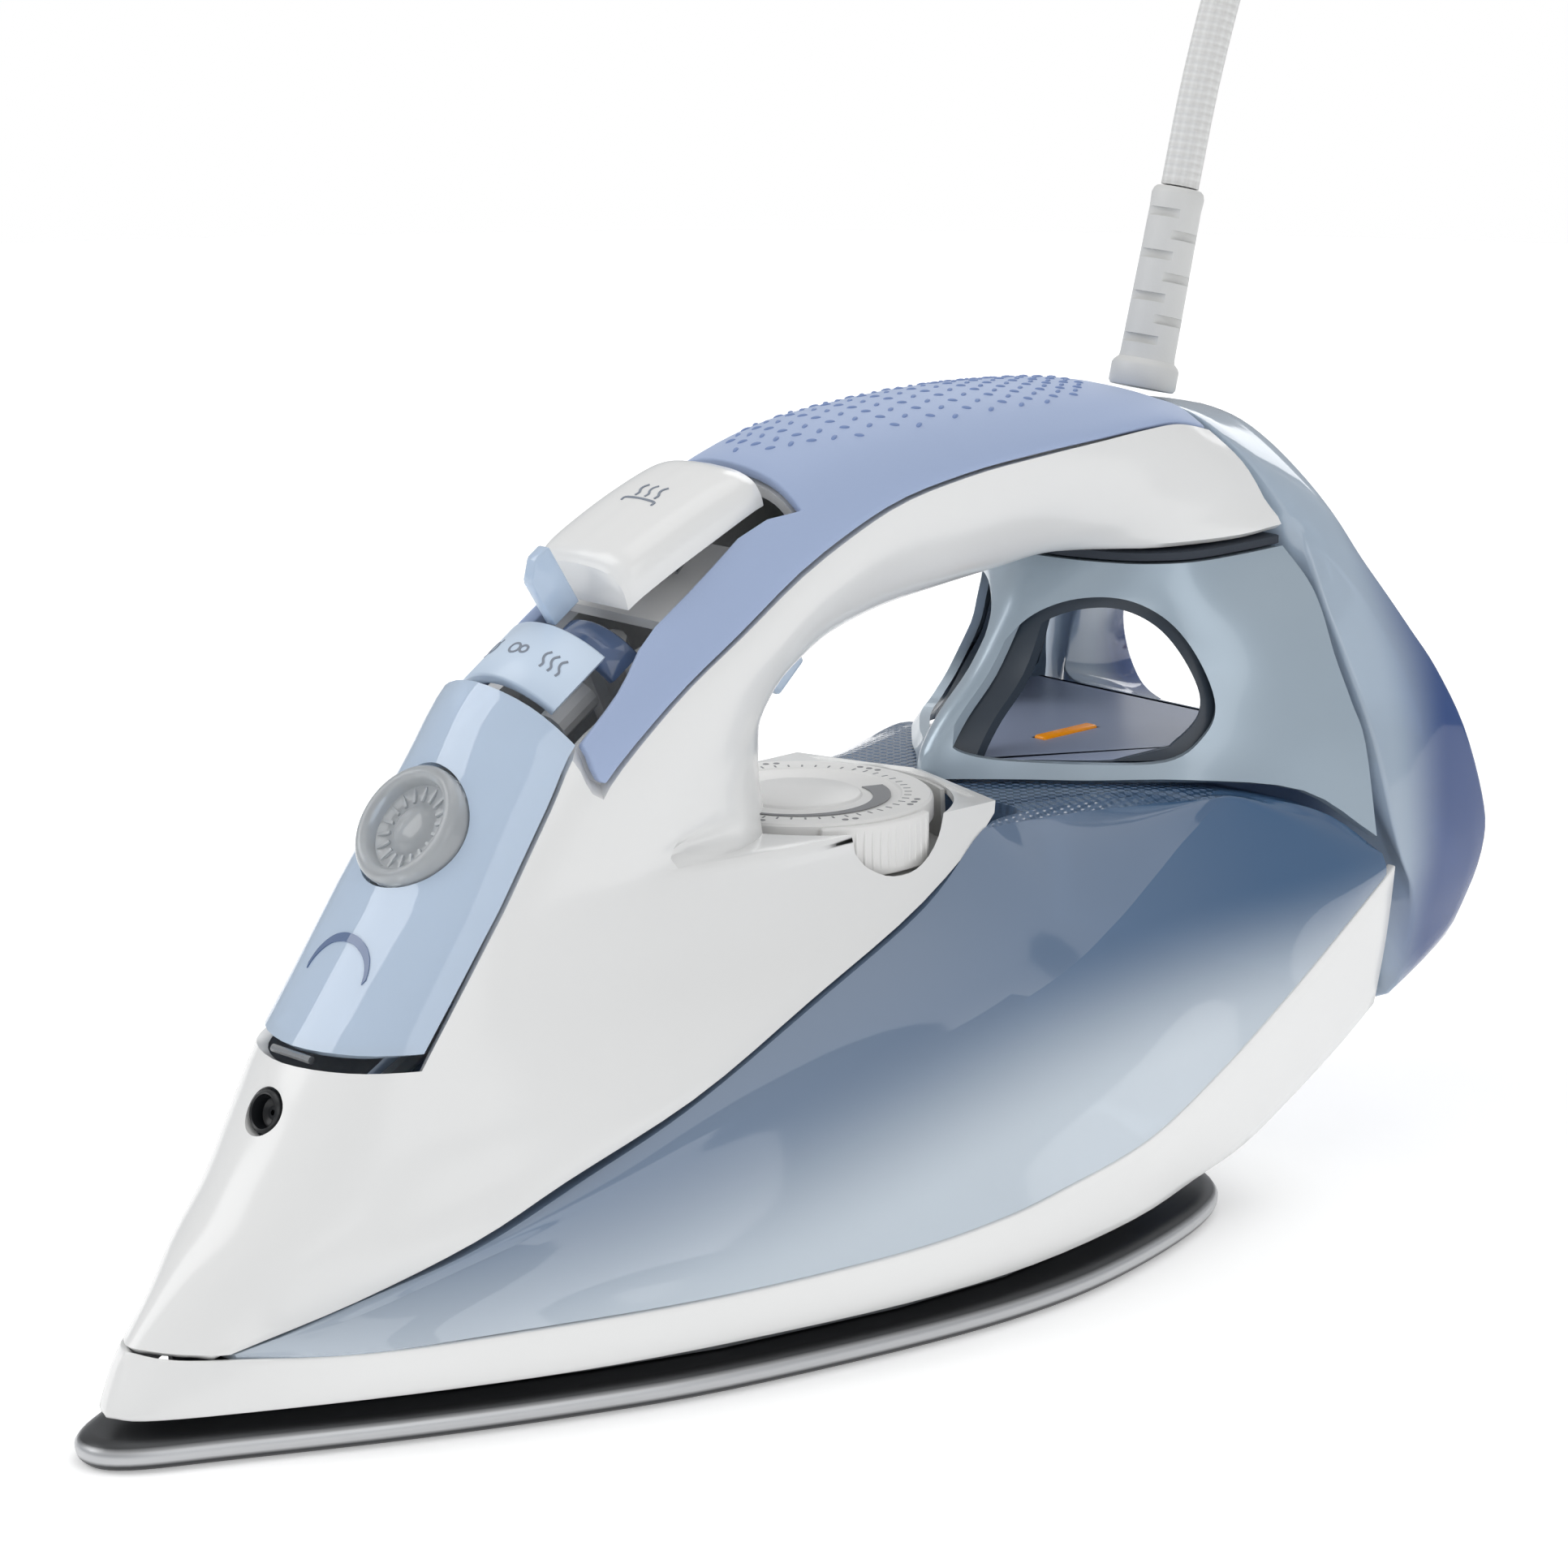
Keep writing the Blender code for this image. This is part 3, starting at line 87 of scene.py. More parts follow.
DECK_Z = 81.4

# Housing: half sections from the nose up the front leg, along the handle and down to the bowl.
# Each runs from the front or top centre, down one side, to the rear or bottom centre.
HOUSING = [
    [(0, 9.6, 18.6), (4, 11.6, 18.3), (7, 14.1, 18), (9.5, 16.9, 17.8), (11, 18.6, 17.7),
     (11.6, 19.7, 17.6), (12, 21, 17.5), (0, 21, 17.5)],
    [(0, 14.5, 24), (6, 18, 24), (11, 24, 23.6), (14.5, 30, 23.3), (17, 36, 23.2), (18.3, 39.5, 23.1),
     (19, 41.5, 23.1), (0, 41.5, 23.1)],
    [(0, 21, 31), (8, 24.5, 31), (14, 32, 31), (19, 41, 31), (23.5, 50, 31), (26, 56.5, 31),
     (27.3, 60, 31), (0, 60, 31)],
    [(0, 28.5, 38.4), (9.5, 32, 38.4), (17, 41, 38.4), (22.5, 51, 38.4), (27, 63, 38.4), (30, 72, 38.4),
     (31, 77, 38.4), (0, 77, 38.4)],
    [(0, 35.5, 48), (11, 39, 48), (19, 48.5, 48), (25, 61, 48), (30, 78, 48), (34, 94, 48),
     (35, 102, 48), (0, 102, 48)],
    [(0, 42.5, 59.5), (12, 46.5, 59.5), (19.5, 56, 59.5), (24.5, 70, 59.5), (29, 90, 59.5),
     (33, 117, 59.5), (34, 131, 59.5), (0, 131, 59.5)],
    [(0, 50.5, 70), (12.5, 54.5, 70), (19, 64, 70), (22.5, 78, 70), (25.5, 100, 70), (28.5, 138, 70),
     (30, 162, 70), (0, 162, 70)],
    [(0, 58.5, 80), (13, 62.5, 80), (19.5, 72, 80), (21.5, 86, 80), (23, 108, 80), (25.2, 148, 80),
     (26.2, 184, 81.6), (0, 190.5, 81.6)],
    [(0, 61.3, 83.6), (13, 65, 83.6), (19.5, 74, 83.6), (21.3, 88, 83.6), (22.6, 108, 83.6),
     (25, 150, 83.6), (25.5, 185, 83.6), (0, 192, 83.6)],
    [(0, 62, 84), (13, 66, 84), (19.5, 75, 84), (21, 89, 84), (21.5, 106, 84), (19.5, 128, 84),
     (11, 142, 84), (0, 146, 84)],
    [(0, 67.5, 92), (12, 71, 91.5), (18, 79, 90.5), (20.5, 91, 90), (21.5, 108, 90), (18.5, 128, 90.5),
     (10, 141.5, 91.5), (0, 144.5, 92)],
    [(0, 76.5, 105), (12, 79.5, 102), (18.5, 86, 97.5), (20.5, 94, 95), (21.5, 110, 96),
     (18, 130, 97.5), (9.5, 141.5, 98.5), (0, 144.3, 99)],
    [(0, 86, 118), (11, 88.5, 115), (18, 93, 108), (20.5, 97, 100.5), (21.5, 114, 101),
     (17.5, 132, 103), (9, 142.5, 104.5), (0, 146, 105)],
    [(0, 99.5, 125), (11, 102, 122.5), (18, 106.5, 116.5), (21, 111, 112), (21, 124, 110.5),
     (16.5, 138, 109.5), (8.5, 146.5, 109.5), (0, 150, 109.5)],
    [(0, 117, 134.5), (10.5, 119.5, 132), (17.5, 123, 127), (21, 127, 121.5), (20.5, 136, 118),
     (15.5, 146, 114.5), (8, 153, 112.5), (0, 156, 112.5)],
    [(0, 142, 147.5), (10.5, 143.4, 145.6), (17, 145, 140.6), (20.5, 147.5, 132.5), (19.5, 152, 126),
     (14, 158.5, 119.3), (7.5, 163.2, 116), (0, 165.2, 115.7)],
    [(0, 157, 151.5), (10.5, 158, 149.8), (17, 160, 145), (20.5, 163, 138.5), (19, 166.5, 131),
     (13.5, 171, 122.5), (7, 174.5, 118), (0, 176, 117.2)],
    [(0, 178, 153.6), (10.5, 178.5, 152), (17.5, 180, 147.5), (20.8, 182, 142), (19, 184, 133),
     (13.5, 187, 124), (7, 189, 119.5), (0, 189.5, 118.8)],
    [(0, 200, 154), (10.5, 200.3, 152.5), (17.5, 201, 148.5), (21, 202, 143.5), (19.5, 203, 134.5),
     (14, 204, 125.5), (7.5, 205, 121), (0, 205, 120.3)],
    [(0, 216, 153.2), (10.5, 216.2, 151.8), (17.5, 216.5, 148.3), (21.2, 217, 144.3), (21, 217, 136),
     (17, 216, 127.5), (10, 215, 122.5), (0, 214.5, 121.6)],
    [(0, 227, 152.2), (10, 227.2, 151), (17.5, 228, 148.3), (21.5, 228, 145), (23, 227, 137),
     (21.5, 225, 129), (14, 223, 122.6), (0, 221, 122)],
    [(0, 234, 151), (9.5, 234, 150), (16.5, 235, 148), (21, 236, 145), (24.5, 236, 137),
     (25.5, 235, 129), (21.5, 232, 122.6), (0, 233, 122.2)],
    [(0, 240, 149.5), (8.5, 240, 149), (15, 241, 147.3), (20, 242, 144), (24.5, 244, 137),
     (26.5, 246, 129), (25.5, 248, 122.6), (0, 248, 122.2)],
    [(0, 245, 148), (7.5, 245.5, 147.3), (13, 247, 146), (18, 249.5, 142), (22.5, 254, 136),
     (25, 257.5, 129), (25.5, 260.5, 123), (0, 260.5, 122.6)],
]
DOOR_ROWS = (5, 12)  # sections between which the filling door lies
GRIP_ROWS = (12, 23)  # sections between which the grip lies
POCKET_END = 15  # section at which the control pocket ends
DECK_ROW = 9  # first section of the leg above the deck
GRIP_THICK = 2.2

# Door
DOOR_THICK = 1.8
KNOB_CENTRE = (0, 70.6, 94.5)
KNOB_AXIS = (0, -0.81, 0.586)
KNOB_RADIUS = 11.0

# Selector, button and trigger
SELECTOR_AXIS = (0, 0.84, 0.5426)
SELECTOR_START = (0, 97.5, 103.2)
SELECTOR_RADIUS = 16.6
SELECTOR_LENGTH = 14.5
TRAY_LENGTH = 7.2
BUTTON_TRAVEL_AXIS = (0, 0.325, -0.9457)
NOZZLE_CENTRE = (0, 38.6, 52.0)
NOZZLE_AXIS = (0, -0.95, 0.312)

# Dial
DIAL_S = 161.0
DIAL_RADIUS = 24.0
DIAL_Z = (80.6, 84.8)
WELL_RADIUS = 27.6
WELL_FLOOR = 73.0

# Rear column: half sections from its lower edge up, each from the front ridge to the back
COLUMN = [
    [(0, 191.5, 82), (6, 197, 82), (13.8, 204.7, 82), (22.8, 212.7, 82), (35, 227, 81.8), (42.6, 250, 77.2),
     (45.4, 268.5, 65.6)],
    [(0, 193, 87), (5.8, 198.5, 87), (13.2, 207.3, 87), (21.8, 215.7, 87), (33.4, 230.1, 87), (41, 250, 86),
     (42, 268.5, 83)],
    [(0, 198, 93), (5, 202, 93), (12, 211, 93), (20.9, 220.1, 93), (32.1, 232.9, 93), (39, 250, 92.5),
     (40, 266.5, 91)],
    [(0, 206, 100), (4.6, 209, 100), (11, 217, 100), (20.4, 226.1, 100), (30.6, 236.9, 100), (36.5, 250, 100),
     (37.2, 264.5, 100)],
    [(0, 212.5, 108), (5, 214.6, 108), (11.4, 220.6, 108), (20.1, 228.4, 108), (28.3, 237.2, 108),
     (33.3, 250, 108), (33.8, 264.5, 108)],
    [(0, 216.5, 113.5), (6, 218, 113.5), (12.6, 222.4, 113.5), (19.9, 228.6, 113.5), (26.5, 237, 113.5),
     (30, 250, 113.5), (30.6, 264, 113.5)],
    [(0, 222, 119.6), (7.5, 223.3, 119.6), (14.5, 226, 119.6), (20.5, 230, 119.6), (25.3, 238, 119.6),
     (26.4, 250, 119.6), (26.3, 261.6, 119.6)],
]
COLUMN_THICK = 1.7
LINER_THICK = 1.4
# Side window of the column, seen along the diagonal: (distance along the wall, z)
WINDOW = [(141.5, 87.6), (149, 85.4), (163, 84.7), (180.5, 84.9), (187.5, 88.6), (190, 94), (187, 102),
          (181.4, 109), (173.5, 113), (164.5, 113), (156.5, 110), (150.5, 104.5), (145, 97), (141.8, 91.5)]
PAD_TOP = 84.2

# Heel cover: four loops, each half from the top centre to the bottom centre
HEEL_FRONT = [(0, 249, 146.5), (7.5, 249.3, 145.8), (13, 250.3, 144.5), (18.5, 253, 140.5),
              (23, 257.3, 134.5), (26, 261.5, 127.5), (28, 265.5, 120), (33, 266.3, 108.5),
              (38, 267, 98.5), (43, 270.2, 83), (46.6, 273.8, 62), (46, 279, 52), (44.3, 280.5, 42),
              (42.3, 276.5, 32), (28, 276.6, 30.6), (0, 277.5, 30)]
HEEL_BACK = [(0, 266, 143.2), (8, 268.5, 141.3), (14, 271.5, 137), (21, 274, 130.5), (27, 276.2, 123.5),
             (32, 278.7, 115.5), (37, 280.5, 109), (41.5, 282.5, 102.5), (45.7, 285, 95.5),
             (49.3, 289.5, 84), (50.3, 294.5, 70), (49.3, 296.8, 61), (46, 296.5, 50), (41.5, 292.5, 39),
             (28, 288.5, 32), (0, 288.5, 31)]
HEEL_WINDOW = [(0, 277.5, 116.5), (8, 277.6, 116.3), (14, 278, 115.2), (19, 278.5, 113.3),
               (23, 279.3, 110.5), (26.5, 280.3, 107), (29.5, 281.8, 102.5), (32, 283.3, 98),
               (34, 285, 93), (35, 287, 88), (35, 289, 83), (33.5, 290.8, 78.5), (29, 291.5, 76),
               (22, 291.7, 75), (12, 291.9, 74.6), (0, 292, 74.5)]
HEEL_INSIDE = [(0, 265.5, 116.3), (6, 265.5, 116), (11, 265.5, 115.3), (15.5, 265.5, 114),
               (19.5, 265.8, 112), (23, 266, 109.2), (26, 266.2, 105.5), (28.5, 266.5, 101.5),
               (31, 267, 97), (33, 267.5, 92.5), (33.8, 267.5, 88.5), (33.3, 266.5, 85.6),
               (29, 265, 84.2), (22, 264.3, 84.2), (12, 264.2, 84.2), (0, 264.2, 84.2)]

# Mains lead
BUSH_BASE = (0, 250.6, 147.6)
BUSH_AXIS = (0, 0.2555, 0.9668)
BUSH_LENGTH = 38.0
BUSH_RADIUS = 5.2
CORD_RADIUS = 3.6
CORD_ROUTE = [(0, 260.9, 186.6), (0.2, 266.5, 207), (0.8, 275, 230), (2, 289, 254), (4, 310, 275),
              (6.5, 337, 285), (9, 364, 279), (11.5, 386, 262), (13.5, 400, 238), (14.5, 407, 208),
              (15, 410, 170), (13, 410, 130), (9, 410, 97), (1, 412.5, 68), (-11, 419.5, 45),
              (-23, 431, 32), (-33.5, 445.5, 27.5), (-39.5, 458, 26.6)]
COIL_CENTRE = (10, 467)
COIL_MIDDLE = 37.0
PLUG_Z = 36.5


# Shapes

def placed(points):
    """Points of (x, s, z) in millimetres, in the frame's metres."""
    return (np.asarray(points, float) + (0, -LENGTH / 2, 0)) * MM


def direction(vector):
    return Vector(vector).normalized()


def new_piece(name, points, faces, uv=None):
    """An object at the origin from points in (x, s, z), its doubles merged and its faces outwards."""
    mesh = bpy.data.meshes.new(name)
    mesh.from_pydata(placed(points).tolist(), [], [tuple(int(i) for i in face) for face in faces])
    if uv is not None:
        layer = mesh.uv_layers.new(name="along")
        for loop in mesh.loops:
            layer.data[loop.index].uv = uv[loop.vertex_index]
    work = bmesh.new()
    work.from_mesh(mesh)
    if uv is None:
        bmesh.ops.remove_doubles(work, verts=work.verts, dist=1e-6)
    bmesh.ops.recalc_face_normals(work, faces=work.faces)
    work.to_mesh(mesh)
    work.free()
    piece = bpy.data.objects.new(name, mesh)
    bpy.context.scene.collection.objects.link(piece)
    return piece


def face_away(piece, middle):
    """Turns an open skin's faces to point away from a middle point of (x, s, z)."""
    centre = Vector(placed([middle])[0])
    if sum((face.center - centre).dot(face.normal) * face.area for face in piece.data.polygons) < 0:
        piece.data.flip_normals()


def give_wall(piece, thickness):
    """Gives an open skin a wall, grown inwards."""
    wall = piece.modifiers.new("wall", "SOLIDIFY")
    wall.thickness = thickness * MM
    wall.offset = -1
    settle(piece)


def round_edges(piece, width, angle=40, segments=2):
    edges = piece.modifiers.new("rounded edges", "BEVEL")
    edges.width = width * MM
    edges.segments = segments
    edges.limit_method = "ANGLE"
    edges.angle_limit = math.radians(angle)
    edges.harden_normals = False
    settle(piece)


def take_out(piece, cutter):
    """Takes the cutter's shape out of the piece."""
    opening = piece.modifiers.new("opening", "BOOLEAN")
    opening.operation = "DIFFERENCE"
    opening.solver = "EXACT"
    opening.use_self = True
    opening.object = cutter
    settle(piece)
    bpy.data.objects.remove(cutter, do_unlink=True)


def settle(piece):
    """Turns what the modifiers make into the piece's own plain mesh."""
    bpy.context.view_layer.update()
    graph = bpy.context.evaluated_depsgraph_get()
    mesh = bpy.data.meshes.new_from_object(piece.evaluated_get(graph), depsgraph=graph)
    piece.modifiers.clear()
    old = piece.data
    piece.data = mesh
    bpy.data.meshes.remove(old)
    if not mesh.polygons:
        raise RuntimeError(piece.name + " has no faces left")


def finish_piece(piece, body, finish, replaced=(), angle=38):
    """Smooths the piece, gives it its material and hands it to the frame."""
    mesh = piece.data
    mesh.polygons.foreach_set("use_smooth", [True] * len(mesh.polygons))
    mesh.set_sharp_from_angle(angle=math.radians(angle))
    mesh.materials.clear()
    mesh.materials.append(material(finish))
    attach(piece, body)
    if replaced:
        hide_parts(*replaced)
    return piece


def curve_through(values, steps):
    """Catmull-Rom curve through the rows of values, with this many steps between two rows."""
    values = np.asarray(values, float)
    before = 2 * values[0] - values[1]
    after = 2 * values[-1] - values[-2]
    padded = np.concatenate([[before], values, [after]])
    found = []
    for a, b, c, d in zip(padded, padded[1:], padded[2:], padded[3:], strict=False):
        for step in range(steps):
            t = step / steps
            found.append(b + 0.5 * t * (c - a + t * (2 * a - 5 * b + 4 * c - d + t * (3 * (b - c) + d - a))))
    return np.array([*found, values[-1]])


def paced_curve(values, gaps, steps):
    """A smooth curve through rows that lie at uneven gaps, with this many steps between two rows."""
    values = np.asarray(values, float)
    gaps = np.asarray(gaps, float).reshape(-1, *[1] * (values.ndim - 1))
    slopes = np.diff(values, axis=0) / gaps
    middle = (gaps[:-1] * slopes[1:] + gaps[1:] * slopes[:-1]) / (gaps[:-1] + gaps[1:])
    ways = np.concatenate([slopes[:1], middle, slopes[-1:]])
    found = []
    for a, b, go, come, gap in zip(values, values[1:], ways, ways[1:], gaps, strict=False):
        for step in range(steps):
            t = step / steps
            found.append(a * (1 - t) ** 2 * (1 + 2 * t) + b * t * t * (3 - 2 * t)
                         + gap * (go * t * (1 - t) ** 2 - come * t * t * (1 - t)))
    return np.array([*found, values[-1]])


def closed_curve(values, steps):
    """The same curve through a loop of points, without its repeated end."""
    values = np.asarray(values, float)
    return curve_through([values[-1], *values, values[0], values[1]], steps)[steps:-2 * steps]


def straight_through(values, steps):
    """Straight steps between the rows of values."""
    values = np.asarray(values, float)
    found = [a + (b - a) * step / steps for a, b in zip(values, values[1:]) for step in range(steps)]
    return np.array([*found, values[-1]])


def mirrored(half):
    """A row from one side over the centre to the other, from a half row that starts at the centre."""
    half = np.asarray(half, float)
    return np.concatenate([half[:0:-1] * (-1, 1, 1), half])


def loop_of(half):
    """A closed row from a half row whose first and last points are at the centre."""
    half = np.asarray(half, float)
    return np.concatenate([half, half[-2:0:-1] * (-1, 1, 1)])


def fine_half(half, steps):
    """A half row with more points, kept smooth where it crosses the centre."""
    half = np.asarray(half, float)
    flip = np.array((-1, 1, 1))
    whole = np.concatenate([[half[1] * flip], half, [half[-2] * flip]])
    return curve_through(whole, steps)[steps:-steps]


def cells(rows, columns, closed=False):
    """The quads of a grid, as (row, column, corners)."""
    last = columns if closed else columns - 1
    for row in range(rows - 1):
        for column in range(last):
            across = (column + 1) % columns
            low = row * columns
            high = low + columns
            yield row, column, (low + column, low + across, high + across, high + column)


def skin(name, rows, keep=lambda row, column: True, closed=False, caps=()):
    """An open surface through rows of points, less the quads that keep() refuses."""
    count = len(rows[0])
    faces = [corners for row, column, corners in cells(len(rows), count, closed) if keep(row, column)]
    return new_piece(name, [point for row in rows for point in row], [*faces, *caps])


def loft(name, rings):
    """A solid through closed rings of equal length, with flat ends."""
    count = len(rings[0])
    points = [p for ring in rings for p in ring]
    faces = [corners for _, _, corners in cells(len(rings), count, closed=True)]
    faces.append(tuple(range(count))[::-1])
    faces.append(tuple(range(len(points) - count, len(points))))
    return new_piece(name, points, faces)


def frame_for(axis):
    """Two directions square to the axis; the first lies across the iron where it can."""
    axis = direction(axis)
    side = Vector((1, 0, 0)) if abs(axis.x) < 0.9 else Vector((0, 1, 0))
    side = (side - axis * side.dot(axis)).normalized()
    return side, axis.cross(side), axis


def turned(name, start, axis, profile, sides=64, bore=0.0):
    """A turned piece: profile holds (radius, height along the axis), and a bore makes it a sleeve."""
    side, other, along = frame_for(axis)
    start = Vector(start)
    if bore:
        profile = [*profile, (bore, profile[-1][1]), (bore, profile[0][1])]
    rings = []
    for radius, height in profile:
        turns = (math.tau * step / sides for step in range(sides))
        rings.append([start + along * height + (side * math.cos(a) + other * math.sin(a)) * radius
                      for a in turns])
    if not bore:
        return loft(name, rings)
    rings.append(rings[0])
    return new_piece(name, [p for ring in rings for p in ring],
                     [corners for _, _, corners in cells(len(rings), sides, closed=True)])


def block(name, centre, size, turn=0.0):
    """A box; turn tips it about the axis that runs across the iron."""
    half = [v / 2 for v in size]
    tip = Matrix.Rotation(turn, 3, "X")
    corners = [tip @ Vector((x * half[0], y * half[1], z * half[2])) + Vector(centre)
               for z in (-1, 1) for x, y in ((-1, -1), (1, -1), (1, 1), (-1, 1))]
    return loft(name, [corners[:4], corners[4:]])


def add(tree, kind, inputs=(), **settings):
    """Adds a node, sets its settings, and sets or links its inputs."""
    made = tree.nodes.new(kind)
    for name, value in settings.items():
        setattr(made, name, value)
    for socket, value in dict(inputs).items():
        if isinstance(value, bpy.types.NodeSocket):
            tree.links.new(value, made.inputs[socket])
        else:
            made.inputs[socket].default_value = value
    return made


def repeat_tree(kind):
    """A Geometry Nodes tree that sets a small shape on each point, by its "along" and "facing"."""
    tree = bpy.data.node_groups.new("repeat " + kind, "GeometryNodeTree")
    tree.interface.new_socket("Points", in_out="INPUT", socket_type="NodeSocketGeometry")
    tree.interface.new_socket("Size", in_out="INPUT", socket_type="NodeSocketVector")
    tree.interface.new_socket("Finish", in_out="INPUT", socket_type="NodeSocketMaterial")
    tree.interface.new_socket("Shapes", in_out="OUTPUT", socket_type="NodeSocketGeometry")
    source = add(tree, "NodeGroupInput")
    if kind == "bead":
        shape = add(tree, "GeometryNodeMeshUVSphere", {"Segments": 10, "Rings": 6, "Radius": 0.5})
    elif kind == "bar":
        shape = add(tree, "GeometryNodeMeshCube", {"Size": (1, 1, 1)})
    else:
        shape = add(tree, "GeometryNodeMeshCylinder", {"Vertices": 20, "Radius": 0.5, "Depth": 1.0})
    along = add(tree, "GeometryNodeInputNamedAttribute", {"Name": "along"}, data_type="FLOAT_VECTOR")
    facing = add(tree, "GeometryNodeInputNamedAttribute", {"Name": "facing"}, data_type="FLOAT_VECTOR")
    upright = add(tree, "FunctionNodeAlignRotationToVector", {"Vector": facing.outputs["Attribute"]},
                  axis="Z")
    turn = add(tree, "FunctionNodeAlignRotationToVector",
               {"Rotation": upright.outputs[0], "Vector": along.outputs["Attribute"]},
               axis="X", pivot_axis="Z")
    spread = add(tree, "GeometryNodeInstanceOnPoints",
                 {"Points": source.outputs["Points"], "Instance": shape.outputs["Mesh"],
                  "Rotation": turn.outputs[0], "Scale": source.outputs["Size"]})
    real = add(tree, "GeometryNodeRealizeInstances", {"Geometry": spread.outputs["Instances"]})
    painted = add(tree, "GeometryNodeSetMaterial",
                  {"Geometry": real.outputs[0], "Material": source.outputs["Finish"]})
    add(tree, "NodeGroupOutput", {"Shapes": painted.outputs[0]})
    return tree


def repeated(name, kind, spots, size, finish):
    """One mesh of the same small shape on each spot, which is (point, facing, along)."""
    mesh = bpy.data.meshes.new(name)
    mesh.from_pydata(placed([spot[0] for spot in spots]).tolist(), [], [])
    for index, key in ((1, "facing"), (2, "along")):
        layer = mesh.attributes.new(key, "FLOAT_VECTOR", "POINT")
        for value, spot in zip(layer.data, spots, strict=True):
            value.vector = Vector(spot[index])
    piece = bpy.data.objects.new(name, mesh)
    bpy.context.scene.collection.objects.link(piece)
    tree = bpy.data.node_groups.get("repeat " + kind) or repeat_tree(kind)
    grower = piece.modifiers.new("repeat", "NODES")
    grower.node_group = tree
    keys = {item.name: item.identifier for item in tree.interface.items_tree if item.in_out == "INPUT"}
    grower[keys["Size"]] = [v * MM for v in size]
    grower[keys["Finish"]] = material(finish)
    settle(piece)
    return piece


def tube_mesh(name, path, radius, sides=20):
    """A round lead along points of (x, s, z), with u round it and v along it in metres."""
    path = np.asarray(path, float)
    ahead = np.gradient(path, axis=0)
    ahead /= np.linalg.norm(ahead, axis=1)[:, None]
    run = np.concatenate([[0], np.cumsum(np.linalg.norm(np.diff(path, axis=0), axis=1))]) * MM
    side = np.cross(ahead[0], (1.0, 0, 0))
    points, uv = [], []
    for spot, way, far in zip(path, ahead, run, strict=True):
        side = side - way * side.dot(way)
        side /= np.linalg.norm(side)
        other = np.cross(way, side)
        for step in range(sides + 1):
            angle = math.tau * step / sides
            points.append(spot + (side * math.cos(angle) + other * math.sin(angle)) * radius)
            uv.append((step / sides, far))
    wide = sides + 1
    faces = [corners for _, _, corners in cells(len(path), wide)]
    faces.append(tuple(range(sides))[::-1])
    faces.append(tuple(range(len(points) - wide, len(points) - 1)))
    return new_piece(name, points, faces, uv)


# Finishes

def linear(colour):
    """An sRGB hex colour as the linear red, green, blue and alpha that shaders take."""
    parts = [int(colour[k:k + 2], 16) / 255 for k in (1, 3, 5)]
    return [*(p / 12.92 if p <= 0.04045 else ((p + 0.055) / 1.055) ** 2.4 for p in parts), 1.0]


def moulded(name, colour, rough, grain, depth, drift=0.04, speckle=None, **fixed):
    """A material whose colour drifts a little over the piece, its grain raised by depth millimetres."""
    made = bpy.data.materials.new(name)
    made.use_nodes = True
    tree = made.node_tree
    shader = tree.nodes["Principled BSDF"]
    spot = add(tree, "ShaderNodeTexCoord").outputs["Object"]
    wide = add(tree, "ShaderNodeTexNoise", {"Vector": spot, "Scale": 28.0, "Detail": 3.0})
    base = linear(colour)
    other = linear(speckle) if speckle else [c * (1 - 2 * drift) for c in base[:3]] + [1.0]
    tone = add(tree, "ShaderNodeMix", {0: wide.outputs["Fac"], 6: base, 7: other}, data_type="RGBA")
    fine = add(tree, "ShaderNodeTexNoise", {"Vector": spot, "Scale": 1000.0 / grain, "Detail": 2.0})
    bump = add(tree, "ShaderNodeBump", {"Height": fine.outputs["Fac"], "Distance": depth * MM,
                                        "Strength": 0.6})
    gloss = add(tree, "ShaderNodeMapRange", {"Value": wide.outputs["Fac"], "To Min": rough * 0.85,
                                             "To Max": min(1.0, rough * 1.15)})
    tree.links.new(tone.outputs[2], shader.inputs["Base Color"])
    tree.links.new(gloss.outputs[0], shader.inputs["Roughness"])
    tree.links.new(bump.outputs[0], shader.inputs["Normal"])
    for socket, value in fixed.items():
        shader.inputs[socket.replace("_", " ")].default_value = value
    return made, tree, shader, spot, tone


def white_plastic(name, colours):
    # Glossy moulded ABS: bright, with soft wide highlights and a very faint ripple from the mould.
    return moulded(name, colours.white, 0.22, 6.0, 0.02, 0.012, Coat_Weight=0.25, Coat_Roughness=0.12)[0]


def pale_blue_plastic(name, colours):
    # ABS in a white so cool that it looks pale blue, satin from the mould.
    return moulded(name, "#d3e3f5", 0.3, 1.0, 0.02, 0.01)[0]


def dial_plastic(name, colours):
    # The same ABS from a spark-eroded mould, so that it is satin.
    return moulded(name, "#f2f1ef", 0.38, 0.6, 0.02, 0.01)[0]


def well_plastic(name, colours):
    # ABS with a matt mould finish, which keeps the recess quiet.
    return moulded(name, "#cfcfcd", 0.5, 0.8, 0.03, 0.02)[0]


def painted_shade_blue(name, colours):
    # The same polycarbonate, painted deep slate blue as painted shade of the dark hollow under it, with a
    # sharp shine.
    return moulded(name, "#64799f", 0.08, 20.0, 0.01, 0.08, Coat_Weight=0.4, Coat_Roughness=0.05)[0]


def soft_grip(name, colours):
    # Soft-touch TPE moulded over the handle: matt, with a fine skin-like grain and a little sheen.
    return moulded(name, colours.grip, 0.62, 0.5, 0.05, 0.02, Sheen_Weight=0.18, Sheen_Roughness=0.5)[0]


def clear_blue(name, colours):
    # Polished tinted polycarbonate: seen through, with a blue edge and a sharp shine.
    return moulded(name, colours.clear, 0.05, 20.0, 0.01, 0.05, Transmission_Weight=0.25, IOR=1.5,
                   Coat_Weight=0.4, Coat_Roughness=0.05)[0]


